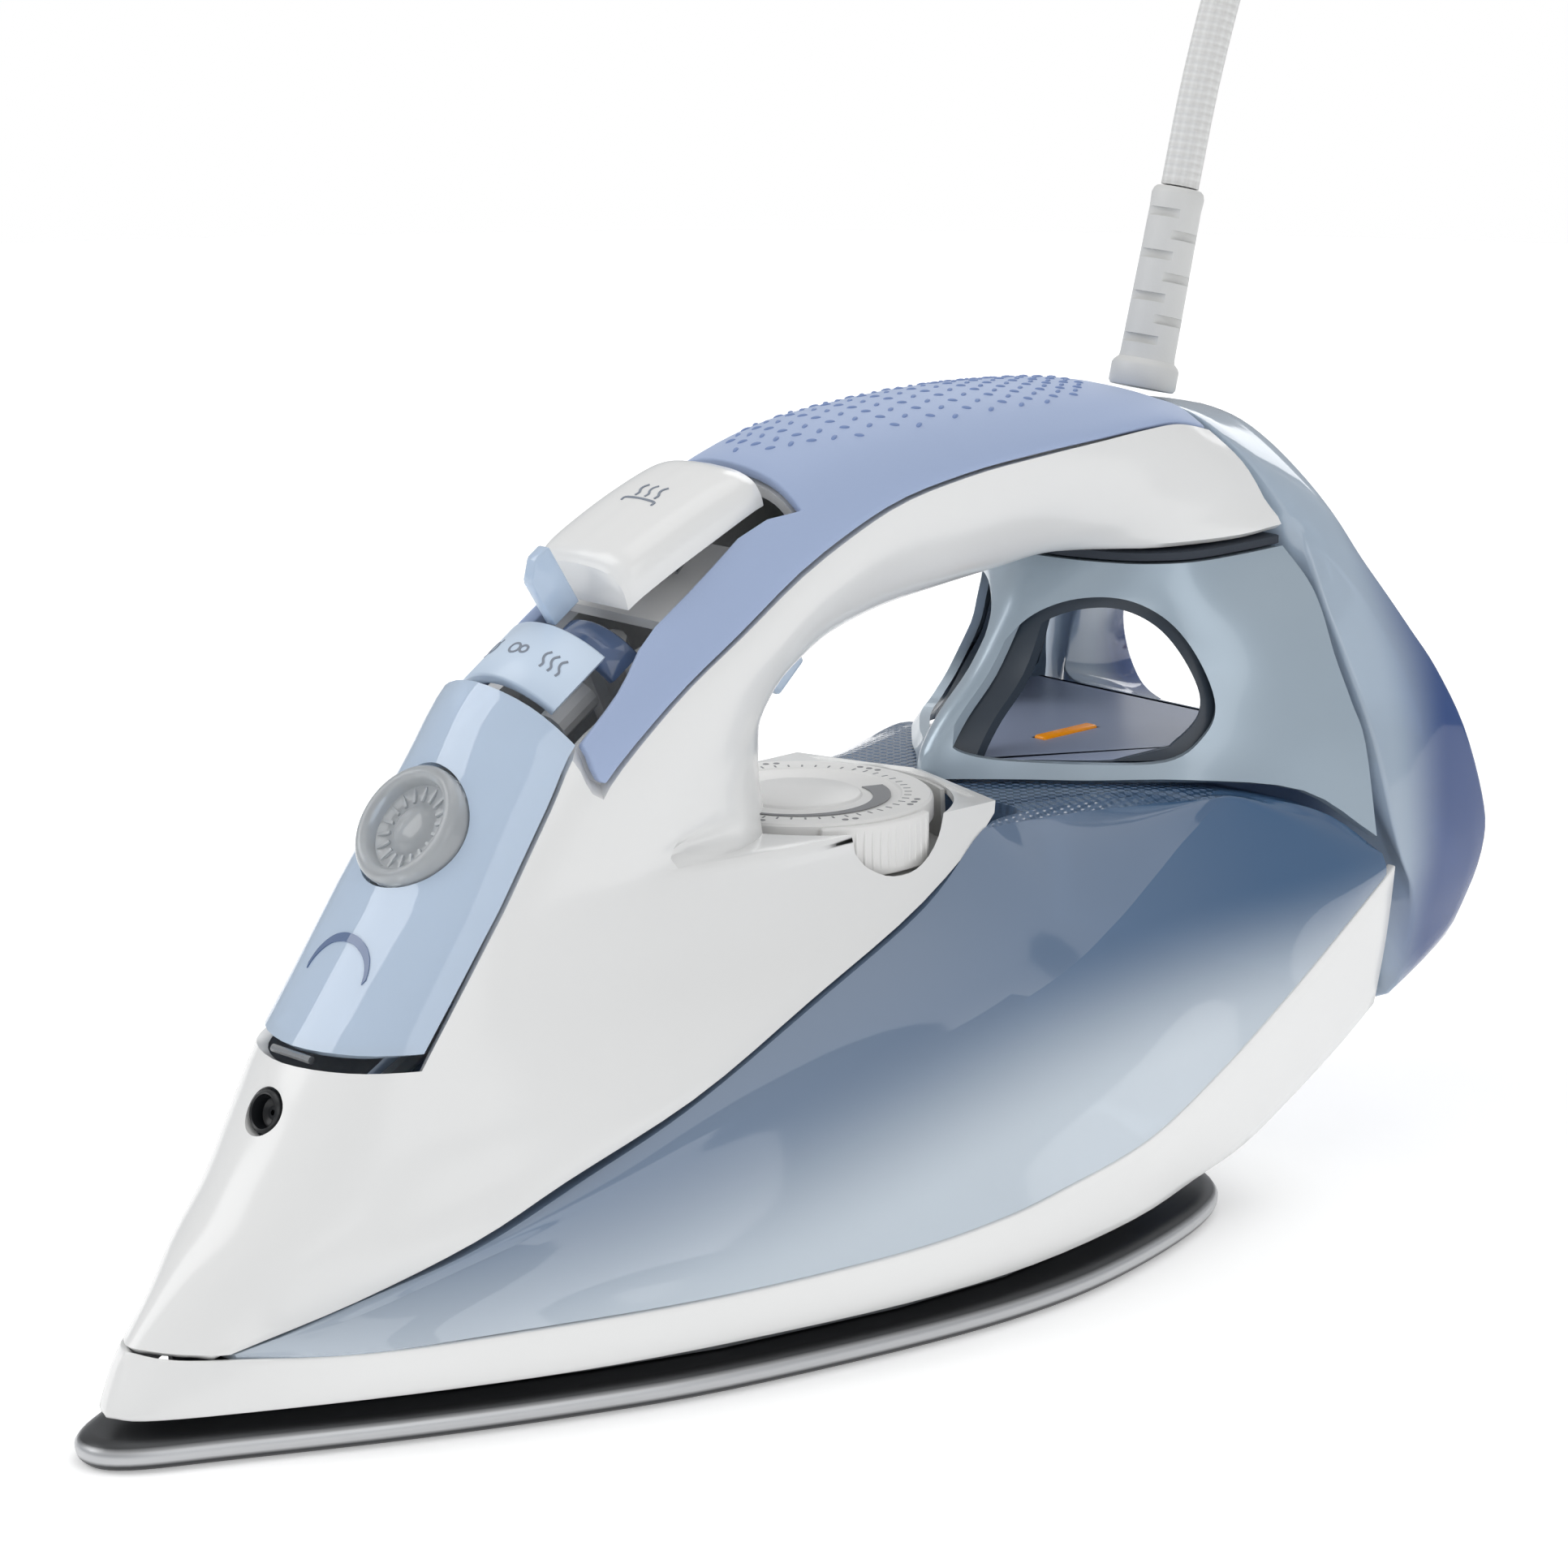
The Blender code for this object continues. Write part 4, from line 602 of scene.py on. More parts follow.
def grip_dash(name, colours):
    # The same TPE in a deeper blue on the dashes that stand proud.
    return moulded(name, "#8298c6", 0.5, 0.5, 0.02, 0.03)[0]


def glassy(name, colours):
    # Clear polished acrylic with a trace of grey, thick enough to bend what lies behind it.
    return moulded(name, "#f2f6f9", 0.05, 15.0, 0.02, 0.05, Transmission_Weight=0.6, IOR=1.45)[0]


def tank_plastic(name, colours):
    # Tinted SAN, injection moulded and polished: pale low down as a painted highlight, and deep blue towards
    # the top and heel as painted shade.
    made, tree, shader, spot, tone = moulded(name, colours.tank_lit_band, 0.07, 30.0, 0.02, 0.03,
                                             Transmission_Weight=0.2, IOR=1.5, Coat_Weight=0.5,
                                             Coat_Roughness=0.04)
    apart = add(tree, "ShaderNodeSeparateXYZ", {"Vector": spot})
    # The crease falls towards the nose, so the painted shade follows the height above it and not the height
    # alone.
    along = add(tree, "ShaderNodeMapRange",
                {"Value": apart.outputs["Y"], "From Min": -0.11, "From Max": 0.06,
                 "To Min": 0.024, "To Max": 0.054}, interpolation_type="SMOOTHSTEP")
    over = add(tree, "ShaderNodeMath", {0: apart.outputs["Z"], 1: along.outputs[0]}, operation="SUBTRACT")
    share = add(tree, "ShaderNodeMapRange", {"Value": over.outputs[0], "From Min": -0.016, "From Max": 0.010},
                interpolation_type="SMOOTHSTEP")
    # Painted shade: the upper tone darkens further towards the heel.
    heelward_shade = add(tree, "ShaderNodeMapRange", {"Value": apart.outputs["Y"], "From Min": -0.05,
                                                "From Max": 0.11}, interpolation_type="SMOOTHSTEP")
    upper = add(tree, "ShaderNodeMix", {0: heelward_shade.outputs[0], 6: linear(colours.tank_shaded_front),
                                        7: linear(colours.tank_shaded_rear)}, data_type="RGBA")
    whole = add(tree, "ShaderNodeMix", {0: share.outputs[0], 6: tone.outputs[2], 7: upper.outputs[2]},
                data_type="RGBA")
    tree.links.new(whole.outputs[2], shader.inputs["Base Color"])
    # Small diamonds, 2.6 mm across, are moulded into the deck behind the dial.
    weave = []
    for sign in (1, -1):
        mixed = add(tree, "ShaderNodeMath", {0: apart.outputs["X"], 1: float(sign), 2: apart.outputs["Y"]},
                    operation="MULTIPLY_ADD")
        phase = add(tree, "ShaderNodeMath", {0: mixed.outputs[0], 1: math.tau / 0.0036}, operation="MULTIPLY")
        weave.append(add(tree, "ShaderNodeMath", {0: phase.outputs[0]}, operation="SINE"))
    diamonds = add(tree, "ShaderNodeMath", {0: weave[0].outputs[0], 1: weave[1].outputs[0]},
                   operation="MULTIPLY")
    deck = add(tree, "ShaderNodeMath", {0: apart.outputs["Z"], 1: 0.0795}, operation="GREATER_THAN")
    shown = add(tree, "ShaderNodeMath", {0: diamonds.outputs[0], 1: deck.outputs[0]}, operation="MULTIPLY")
    relief = add(tree, "ShaderNodeBump", {"Height": shown.outputs[0], "Distance": 0.0005, "Strength": 0.9})
    tree.links.new(relief.outputs[0], shader.inputs["Normal"])
    return made


def silver_lacquer(name, colours):
    # Silver-blue lacquer on ABS under clear coat: fine metal flakes and a smooth shine.
    return moulded(name, colours.column, 0.3, 0.35, 0.01, 0.05, Metallic=0.35, Coat_Weight=0.6,
                   Coat_Roughness=0.06)[0]


def dark_plastic(name, colours):
    # Dark smoke-blue polycarbonate, moulded with a satin face; inside the column its darkness is painted
    # shade of the hollow seen through the windows.
    return moulded(name, "#39434f", 0.28, 1.2, 0.02, 0.05)[0]


def heel_plastic(name, colours):
    # Tinted see-through SAN over a silver back: pale inside, deep blue where its edge is thick.
    made, tree, shader, spot, tone = moulded(name, "#c2d3e4", 0.08, 25.0, 0.02, 0.03, Coat_Weight=0.7,
                                             Coat_Roughness=0.04, Transmission_Weight=0.25, IOR=1.5)
    apart = add(tree, "ShaderNodeSeparateXYZ", {"Vector": spot})
    edge = add(tree, "ShaderNodeMapRange", {"Value": apart.outputs["Y"], "From Min": 0.124,
                                            "From Max": 0.137}, interpolation_type="SMOOTHSTEP")
    whole = add(tree, "ShaderNodeMix", {0: edge.outputs[0], 6: tone.outputs[2], 7: linear(colours.heel)},
                data_type="RGBA")
    tree.links.new(whole.outputs[2], shader.inputs["Base Color"])
    return made


def pad_plastic(name, colours):
    # Lavender-blue ABS with a fine spark finish.
    return moulded(name, "#a8b4d0", 0.34, 0.7, 0.02, 0.03)[0]


def amber(name, colours):
    # Tinted acrylic light guide: saturated orange that glows a little from inside.
    made, _, shader, _, _ = moulded(name, "#f39a12", 0.2, 3.0, 0.02, 0.05, Emission_Strength=0.25)
    shader.inputs["Emission Color"].default_value = linear("#ff9a10")
    return made


def satin_aluminium(name, colours):
    # Cast aluminium, ground and satin polished along its length: grey metal with fine lines.
    made, tree, shader, spot, _ = moulded(name, "#b4b4b4", 0.3, 0.8, 0.01, 0.03, Metallic=0.9)
    stretch = add(tree, "ShaderNodeMapping", {"Vector": spot, "Scale": (1.0, 0.03, 1.0)})
    lines = add(tree, "ShaderNodeTexNoise", {"Vector": stretch.outputs[0], "Scale": 1800.0, "Detail": 2.0})
    scratch = add(tree, "ShaderNodeBump", {"Height": lines.outputs["Fac"], "Distance": 0.00002,
                                           "Strength": 0.5})
    tree.links.new(scratch.outputs[0], shader.inputs["Normal"])
    return made


def coated_aluminium_lit_edge(name, colours):
    # A hard-coated plate: dull dark upper face and a dark smooth sole, with a painted highlight, a bright
    # band round the side between them.
    made, tree, shader, spot, tone = moulded(name, "#4b4c4e", 0.36, 0.8, 0.01, 0.05, Metallic=0.7)
    height = add(tree, "ShaderNodeSeparateXYZ", {"Vector": spot}).outputs["Z"]
    # Painted highlight: the band runs from about 1.2 to 4.2 mm up the side.
    over = add(tree, "ShaderNodeMapRange", {"Value": height, "From Min": 0.0012, "From Max": 0.0019})
    under = add(tree, "ShaderNodeMapRange", {"Value": height, "From Min": 0.0042, "From Max": 0.0036})
    edge = add(tree, "ShaderNodeMath", {0: over.outputs[0], 1: under.outputs[0]}, operation="MULTIPLY")
    whole = add(tree, "ShaderNodeMix", {0: edge.outputs[0], 6: tone.outputs[2], 7: linear("#c3c4c6")},
                data_type="RGBA")
    tree.links.new(whole.outputs[2], shader.inputs["Base Color"])
    return made


def cast_aluminium(name, colours):
    # As-cast aluminium: dull grey with the sand's grain.
    return moulded(name, "#8d8f92", 0.55, 0.9, 0.12, 0.06, Metallic=0.9)[0]


def steel(name, colours):
    # Drawn steel: bright, with slight drawing marks.
    return moulded(name, "#b9bbbe", 0.25, 0.5, 0.01, 0.04, Metallic=1.0)[0]


def brass(name, colours):
    # Turned brass: warm yellow metal, a little dulled.
    return moulded(name, "#c79f55", 0.33, 0.6, 0.01, 0.06, Metallic=1.0)[0]


def black_plastic(name, colours):
    # Black acetal, turned and moulded: deep, with a satin face.
    return moulded(name, "#1b1d20", 0.32, 0.8, 0.02, 0.05)[0]


def print_ink(name, colours):
    # Pad-printed grey ink, a thin matt film.
    return moulded(name, "#8b93a0", 0.6, 0.3, 0.01, 0.05)[0]


def scale_ink(name, colours):
    # Mid-grey printed scale on the dial.
    return moulded(name, "#8e8f92", 0.55, 0.3, 0.01, 0.04)[0]


def gap_black(name, colours):
    # The shadowed floor of a seam, in unpainted dark plastic.
    return moulded(name, "#2c3440", 0.6, 1.0, 0.03, 0.05)[0]


def soft_rubber(name, colours):
    # Silicone tube: milky and soft.
    return moulded(name, "#cfd2d4", 0.5, 2.0, 0.02, 0.04, Subsurface_Weight=0.1)[0]


def pale_rubber(name, colours):
    # Pale PVC, moulded over the lead: satin, with a fine grain.
    return moulded(name, "#dcdcda", 0.45, 0.5, 0.03, 0.02, Sheen_Weight=0.05)[0]


def circuit_board(name, colours):
    # Glass-fibre board under green solder resist, with the weave's faint relief.
    return moulded(name, "#1d6b45", 0.3, 0.9, 0.03, 0.08)[0]


def woven_sleeve(name, colours):
    # Braided polyester over rubber: two sets of threads that cross every 1.6 mm along the lead.
    made, tree, shader, _, tone = moulded(name, colours.cord, 0.75, 0.3, 0.03, 0.02, Sheen_Weight=0.25,
                                             Sheen_Roughness=0.4)
    parts = add(tree, "ShaderNodeSeparateXYZ",
                {"Vector": add(tree, "ShaderNodeUVMap", uv_map="along").outputs[0]})
    far = add(tree, "ShaderNodeMath", {0: parts.outputs["Y"], 1: math.tau / 0.0032}, operation="MULTIPLY")
    threads = []
    for sign in (1, -1):
        turn = add(tree, "ShaderNodeMath", {0: parts.outputs["X"], 1: sign * math.tau * 6, 2: far.outputs[0]},
                   operation="MULTIPLY_ADD")
        threads.append(add(tree, "ShaderNodeMath", {0: turn.outputs[0]}, operation="SINE"))
    braid = add(tree, "ShaderNodeMath", {0: threads[0].outputs[0], 1: threads[1].outputs[0]},
                operation="MULTIPLY")
    relief = add(tree, "ShaderNodeBump", {"Height": braid.outputs[0], "Distance": 0.0003, "Strength": 0.8})
    tree.links.new(relief.outputs[0], shader.inputs["Normal"])
    level = add(tree, "ShaderNodeMapRange", {"Value": braid.outputs[0], "From Min": -1.0, "From Max": 1.0,
                                             "To Min": 0.0, "To Max": 0.5})
    shade = add(tree, "ShaderNodeMix", {0: level.outputs[0], 6: tone.outputs[2], 7: linear("#cfcdca")},
                data_type="RGBA")
    tree.links.new(shade.outputs[2], shader.inputs["Base Color"])
    return made


FINISHES = {
    "glossy white ABS": white_plastic, "satin white ABS": dial_plastic, "matt white ABS": well_plastic,
    "pale blue ABS": pale_blue_plastic, "soft-touch TPE": soft_grip, "raised TPE": grip_dash,
    "deep blue polycarbonate": painted_shade_blue, "clear blue polycarbonate": clear_blue, "clear acrylic": glassy,
    "tinted SAN": tank_plastic, "silver-blue lacquer": silver_lacquer, "smoke polycarbonate": dark_plastic,
    "blue-edged SAN": heel_plastic, "lavender ABS": pad_plastic, "amber acrylic": amber,
    "satin aluminium": satin_aluminium, "ground aluminium": coated_aluminium_lit_edge,
    "cast aluminium": cast_aluminium, "drawn steel": steel, "turned brass": brass,
    "black acetal": black_plastic, "pad-printed ink": print_ink,
    "printed scale": scale_ink, "seam shadow": gap_black, "silicone rubber": soft_rubber,
    "moulded PVC": pale_rubber, "green circuit board": circuit_board, "braided polyester": woven_sleeve,
}


def material(finish):
    """The material of that name, made the first time it is asked for."""
    return bpy.data.materials.get(finish) or FINISHES[finish](finish, bpy.context.scene.iron_colours)


# Pieces

def wound_lead():
    """The lead's line: up from the bushing, over, down behind the iron, and then round in the coil."""
    axis = direction(BUSH_AXIS)
    start = Vector(BUSH_BASE) + axis * (BUSH_LENGTH + 0.35)
    free = curve_through([tuple(start), *CORD_ROUTE[1:]], 10)
    x, s = COIL_CENTRE
    outer, inner = COIL_MIDDLE + 7.5, COIL_MIDDLE - 7.5
    low, mid, high = 3.75, 11.25, 18.75
    first = math.atan2(CORD_ROUTE[-1][1] - s, CORD_ROUTE[-1][0] - x) % math.tau
    reach = math.dist(CORD_ROUTE[-1][:2], (x, s))
    # (turns so far, radius, height): down the outside, in along the bottom, and out again over it.
    slots = [(0, reach, CORD_ROUTE[-1][2]), (0.55, outer, high + 1.2), (1, outer, high), (2, outer, mid),
             (3, outer, low), (4, COIL_MIDDLE, low), (5, inner, low), (6, inner, mid), (7, COIL_MIDDLE, mid),
             (8, inner, high), (9, COIL_MIDDLE, high), (9.05, COIL_MIDDLE, high)]
    rise = 9.05
    last = 9 + ((first - math.radians(97)) % math.tau) / math.tau
    turns = np.arange(0, last, 1 / 30)[1:]
    knots = np.array(slots)
    coil = []
    for turn in turns:
        radius = np.interp(turn, knots[:, 0], knots[:, 1])
        z = np.interp(turn, knots[:, 0], knots[:, 2])
        if turn > rise:
            share = (turn - rise) / (last - rise)
            z = high + (PLUG_Z - high) * (3 * share ** 2 - 2 * share ** 3)
            radius += (35 - COIL_MIDDLE) * share
        angle = first - turn * math.tau
        coil.append((x + radius * math.cos(angle), s + radius * math.sin(angle), z))
    whole = np.array([*free, *coil, (x - 10.2, s + 35, PLUG_Z)])
    soft = whole.copy()
    for _ in range(3):
        soft[1:-1] = (soft[:-2] + 2 * soft[1:-1] + soft[2:]) / 4
    return soft


def make_lead(sizes):
    path = wound_lead()
    lead = tube_mesh("mains_lead", path, CORD_RADIUS, 16)
    finish_piece(lead, "body", "braided polyester", ("power_cord", "cord_coil"), 60)
    x, s = COIL_CENTRE
    body = turned("lead_plug", (x - 10, s + 35, PLUG_Z), (1, 0, 0),
                  [(4.0, 0), (4.3, 1), (5.0, 5), (5.7, 9), (8.2, 11.2), (11.2, 13.4), (12.8, 15.4),
                   (13.3, 17.6),
                   (13.4, 20), (13.4, 38.6), (13.1, 39.8), (12.3, 40.7), (11, 41), (6, 41)], 72)
    finish_piece(body, "body", "moulded PVC", ("plug_body",), 50)
    ribs = [((x + 8 + 2.6 * k, s + 35 + 13.3 * math.sin(a), PLUG_Z + 13.3 * math.cos(a)),
             (0, math.sin(a), math.cos(a)), (0, math.cos(a), -math.sin(a)))
            for k in range(5)
            for a in (math.radians(d) for d in (-40, -20, 0, 20, 40, 140, 160, 180, 200, 220))]
    grips = repeated("plug_grips", "bead", ribs, (4.6, 1.2, 0.9), "moulded PVC")
    finish_piece(grips, "body", "moulded PVC")


def make_bushing(sizes):
    """The swivelling strain relief, with rows of slots that let it bend."""
    profile = [(6.0, 0), (6.4, 0.6), (6.4, 4.0), (6.1, 4.6), (BUSH_RADIUS + 0.1, 5.4), (BUSH_RADIUS, 6.4)]
    profile += [(BUSH_RADIUS - 0.012 * (h - 6.4), h) for h in range(8, 36, 2)]
    profile += [(5.0, BUSH_LENGTH - 1.4), (4.7, BUSH_LENGTH - 0.5), (4.2, BUSH_LENGTH)]
    sleeve = turned("swivel_bushing", BUSH_BASE, BUSH_AXIS, profile, 64)
    side, other, along = frame_for(BUSH_AXIS)
    spots = []
    for row in range(sizes.bushing_rows):
        height = 9 + row * 24.0 / (sizes.bushing_rows - 1)
        for turn in range(2):
            angle = math.pi * turn - 0.74 + (0.62 if row % 2 else -0.62)
            out = side * math.cos(angle) + other * math.sin(angle)
            spots.append((Vector(BUSH_BASE) + along * height + out * (BUSH_RADIUS + 0.5), along, out))
    cutter = repeated("slot_cutter", "bar", spots, (4.0, 14.0, 1.7), "moulded PVC")
    take_out(sleeve, cutter)
    finish_piece(sleeve, "bushing", "moulded PVC", ("cord_bushing",), 35)


def sole_outline(inset, steps):
    """The soleplate's outline, moved inwards."""
    half = fine_half([(*p, 0) for p in [*SOLE_HALF, SOLE_END]], steps)
    ring = loop_of(half)[:, :2]
    ahead = np.roll(ring, -1, 0) - np.roll(ring, 1, 0)
    ahead /= np.linalg.norm(ahead, axis=1)[:, None]
    inward = np.stack([-ahead[:, 1], ahead[:, 0]], 1)
    if ((np.array((0, 120)) - ring) * inward).sum() < 0:
        inward = -inward
    return ring + inward * inset


def make_soleplate(sizes):
    levels = [(3.4, 0.0), (2.2, 0.05), (1.3, 0.3), (0.6, 0.9), (0.15, 1.7), (0, 2.4), (0, 3.2), (0.5, 3.9),
              (1.3, 4.5), (2.4, 4.9), (3.2, SOLE_THICK)]
    plate = loft("polished_sole", [[(x, s, z) for x, s in sole_outline(inset, 5)] for inset, z in levels])
    holes = [spot for x, s in VENTS for spot in ({(x, s), (-x, s)})]
    spots = [((x, s, 2.0), (0, 0, 1), (1, 0, 0)) for x, s in sorted(holes)]
    wide = 2 * VENT_RADIUS
    take_out(plate, repeated("vent_cutter", "disc", spots, (wide, wide, 9.0), "satin aluminium"))
    finish_piece(plate, "body", "ground aluminium", ("soleplate",), 40)


def make_shield(sizes):
    """The white skirt between the soleplate and the tank."""
    low, high = (curve_through(line, 4) for line in (SHIELD_LOW, SHIELD_HIGH))
    rows = []
    for share in np.linspace(0, 1, 9):
        half = low + (high - low) * share
        rows.append(mirrored(half + (0.5 * math.sin(math.pi * share), 0, 0) * (half[:, :1] > 1)))
    count = len(rows[0])
    under = [(index, count - 1 - index, count - 2 - index, index + 1) for index in range(12)]
    shield = skin("skirt", rows, caps=under)
    face_away(shield, (0, 140, 14))
    give_wall(shield, SHIELD_THICK - 0.4)
    round_edges(shield, 0.35, 50)
    finish_piece(shield, "body", "glossy white ABS", ("heat_shield",), 50)


def along_line(line, stations):
    """(x, z) of a line of (x, s, z) points at each of these distances from the tip."""
    fine = curve_through(line, 8)
    return [(np.interp(s, fine[:, 1], fine[:, 0]), np.interp(s, fine[:, 1], fine[:, 2])) for s in stations]


def make_tank(sizes):
    stations = [TANK_S[-1]]
    for first, last in list(zip(TANK_S, TANK_S[1:]))[::-1]:
        count = 1 + round((last - first) / 3.5)
        stations = [*np.linspace(first, last, count, endpoint=False), *stations]
    lines = [along_line(line, stations) for line in (SHIELD_HIGH, CREASE, RIM)]
    rows = []
    for s, (xl, zl), (xc, zc), (xr, zr) in zip(stations, *lines, strict=True):
        bulge = 1.6 * min(1, (s - 20) / 60) * min(1, (275 - s) / 40)
        foot = zl + 0.5
        rim_gap = 0.3 + 0.8 * min(1, (s - 26) / 30)
        roof = min(zr - rim_gap - 0.5, WELL_FLOOR - 0.6) if s < 190 else min(zr - 0.5, DECK_Z)
        slope = max(2.5, zr - roof)
        low = curve_through([(xl, s, foot), ((xl + xc) / 2 + bulge, s, (foot + zc) / 2), (xc, s, zc)], 5)
        high = curve_through([(xc, s, zc), ((xc + xr) / 2 + 0.5 * bulge, s, (zc + zr) / 2),
                              (xr + 0.3, s, zr - rim_gap)], 5)
        top = straight_through([(xr + 0.3, s, zr - rim_gap), (xr - slope, s, roof), (0, s, roof)], 3)
        rows.append(mirrored(np.array([*low[:-1], *high[:-1], *top])[::-1]))
    # The tank starts in a sharp wedge between the housing and the shield.
    tip = rows[0] * (0, 0, 0.12) + (0, 21.7, 15.1)
    tip[:, 0] = np.clip(rows[0][:, 0] * 0.8, -12.5, 12.5)
    tank = skin("tinted_tank", [tip, *rows])
    face_away(tank, (0, 140, 40))
    give_wall(tank, sizes.tank_wall / MM)
    for name, x, s, radius in (("shaft", 0, DIAL_S, 4), ("valve", 0, 104, 3.4), ("hose", 12, 126, 3.4)):
        take_out(tank, turned(name + "_cutter", (x, s, 34), (0, 0, 1), [(radius, 0), (radius, 56)], 24))
    finish_piece(tank, "body", "tinted SAN", ("water_tank",), 24)


def housing_grid():
    """The housing's outer surface: rows run round each section from its front centre."""
    rows = []
    for index, half in enumerate(HOUSING):
        if index >= DECK_ROW:
            rows.append(fine_half(half, COLUMN_STEPS))
            continue
        # The wall of the nose ends at the tank's rim, and a straight line crosses to the centre.
        half = np.asarray(half, float)
        wall = curve_through([half[1] * (-1, 1, 1), *half[:-1]], COLUMN_STEPS)[COLUMN_STEPS:]
        rows.append(np.array([*wall[:-1], *straight_through([wall[-1], half[-1]], COLUMN_STEPS)]))
    coarse = np.array(rows)
    # Two sections lie close together at the deck, so the front columns take theirs from the next ones.
    middle = coarse[DECK_ROW - 2] * 0.1 + coarse[DECK_ROW] * 0.9
    columns = np.arange(coarse.shape[1]) / COLUMN_STEPS
    share = np.clip((4.9 - columns) / 0.6, 0, 1)[:, None]
    coarse[DECK_ROW - 1] = coarse[DECK_ROW - 1] * (1 - share) + middle * share
    # The front of the leg is evened out, so that the door's long edges run straight.
    even = np.clip(4.2 - np.arange(coarse.shape[1]) / COLUMN_STEPS, 0, 1)[:, None]
    for _ in range(8):
        for row in range(DOOR_ROWS[0] + 1, DOOR_ROWS[1]):
            before = np.linalg.norm(coarse[row, :9] - coarse[row - 1, :9], axis=1).mean()
            after = np.linalg.norm(coarse[row + 1, :9] - coarse[row, :9], axis=1).mean()
            between = (coarse[row - 1] * after + coarse[row + 1] * before) / (before + after)
            coarse[row] += (between - coarse[row]) * 0.5 * even
    front = coarse[:, :2 * COLUMN_STEPS + 1]
    gaps = np.linalg.norm(np.diff(front, axis=0), axis=2).mean(1)
    smooth = paced_curve(coarse, gaps, ROW_STEPS)
    plain = straight_through(coarse, ROW_STEPS)
    # Round the deck the wall turns sharply behind the dial, so the rear columns stay straight there.
    first, last = (DECK_ROW - 2) * ROW_STEPS, (DECK_ROW + 1) * ROW_STEPS
    smooth[first:last] = smooth[first:last] * share + plain[first:last] * (1 - share)
    smooth[:, 0, 0] = 0
    return smooth


def normals_of(grid, centre=(0, 115, 75)):
    """Outward direction at each point of a half grid, taken from its neighbours."""
    grid = np.asarray(grid)
    found = np.cross(np.gradient(grid, axis=0), np.gradient(grid, axis=1))
    found[..., 0][grid[..., 0] == 0] = 0
    found /= np.maximum(np.linalg.norm(found, axis=2, keepdims=True), 1e-9)
    return found if ((grid - np.array(centre)) * found).sum() > 0 else -found


def make_housing(sizes):
    grid = housing_grid()
    out = normals_of(grid)
    edge = 3 * COLUMN_STEPS
    first = GRIP_ROWS[0] * ROW_STEPS
    rows = []
    for index, row in enumerate(grid):
        top = row - out[index] * (GRIP_THICK + 1.0) if index >= first else row
        # The column at the grip's edge stands twice: once under the grip and once flush with it.
        rows.append(loop_of([*top[:edge + 1], *row[edge:]]))
    count = len(rows[0])
    half_count = len(grid[0]) + 1
    side_of = [min(column, count - 1 - column) for column in range(count)]
    door, pocket = 2 * COLUMN_STEPS, POCKET_END * ROW_STEPS

    def keep(row, column):
        side = side_of[column]
        if row < (DECK_ROW - 2) * ROW_STEPS and side >= half_count - 1 - COLUMN_STEPS:
            return False
        return side >= door or not DOOR_ROWS[0] * ROW_STEPS <= row < pocket

    last = (len(rows) - 1) * count
    caps = [(last + a, last + a + 1, last + (count - a - 1) % count, last + (count - a) % count)
            for a in range(half_count - 1)]
    shell = skin("white_housing", rows, keep, True, [tuple(dict.fromkeys(cap)) for cap in caps])
    face_away(shell, (0, 115, 75))
    give_wall(shell, sizes.housing_wall / MM)
    take_out(shell, turned("dial_cutter", (0, DIAL_S, WELL_FLOOR - 0.4), (0, 0, 1),
                           [(WELL_RADIUS, 0), (WELL_RADIUS, 14.9)], 96))
    start = Vector(NOZZLE_CENTRE) - direction(NOZZLE_AXIS) * 8
    take_out(shell, turned("nozzle_cutter", start, NOZZLE_AXIS, [(4.2, 0), (4.2, 16)], 48))
    take_out(shell, block("trigger_cutter", (0, 153.5, 112), (5.4, 11.5, 14), 0.75))
    finish_piece(shell, "body", "glossy white ABS", ("upper_housing",), 34)


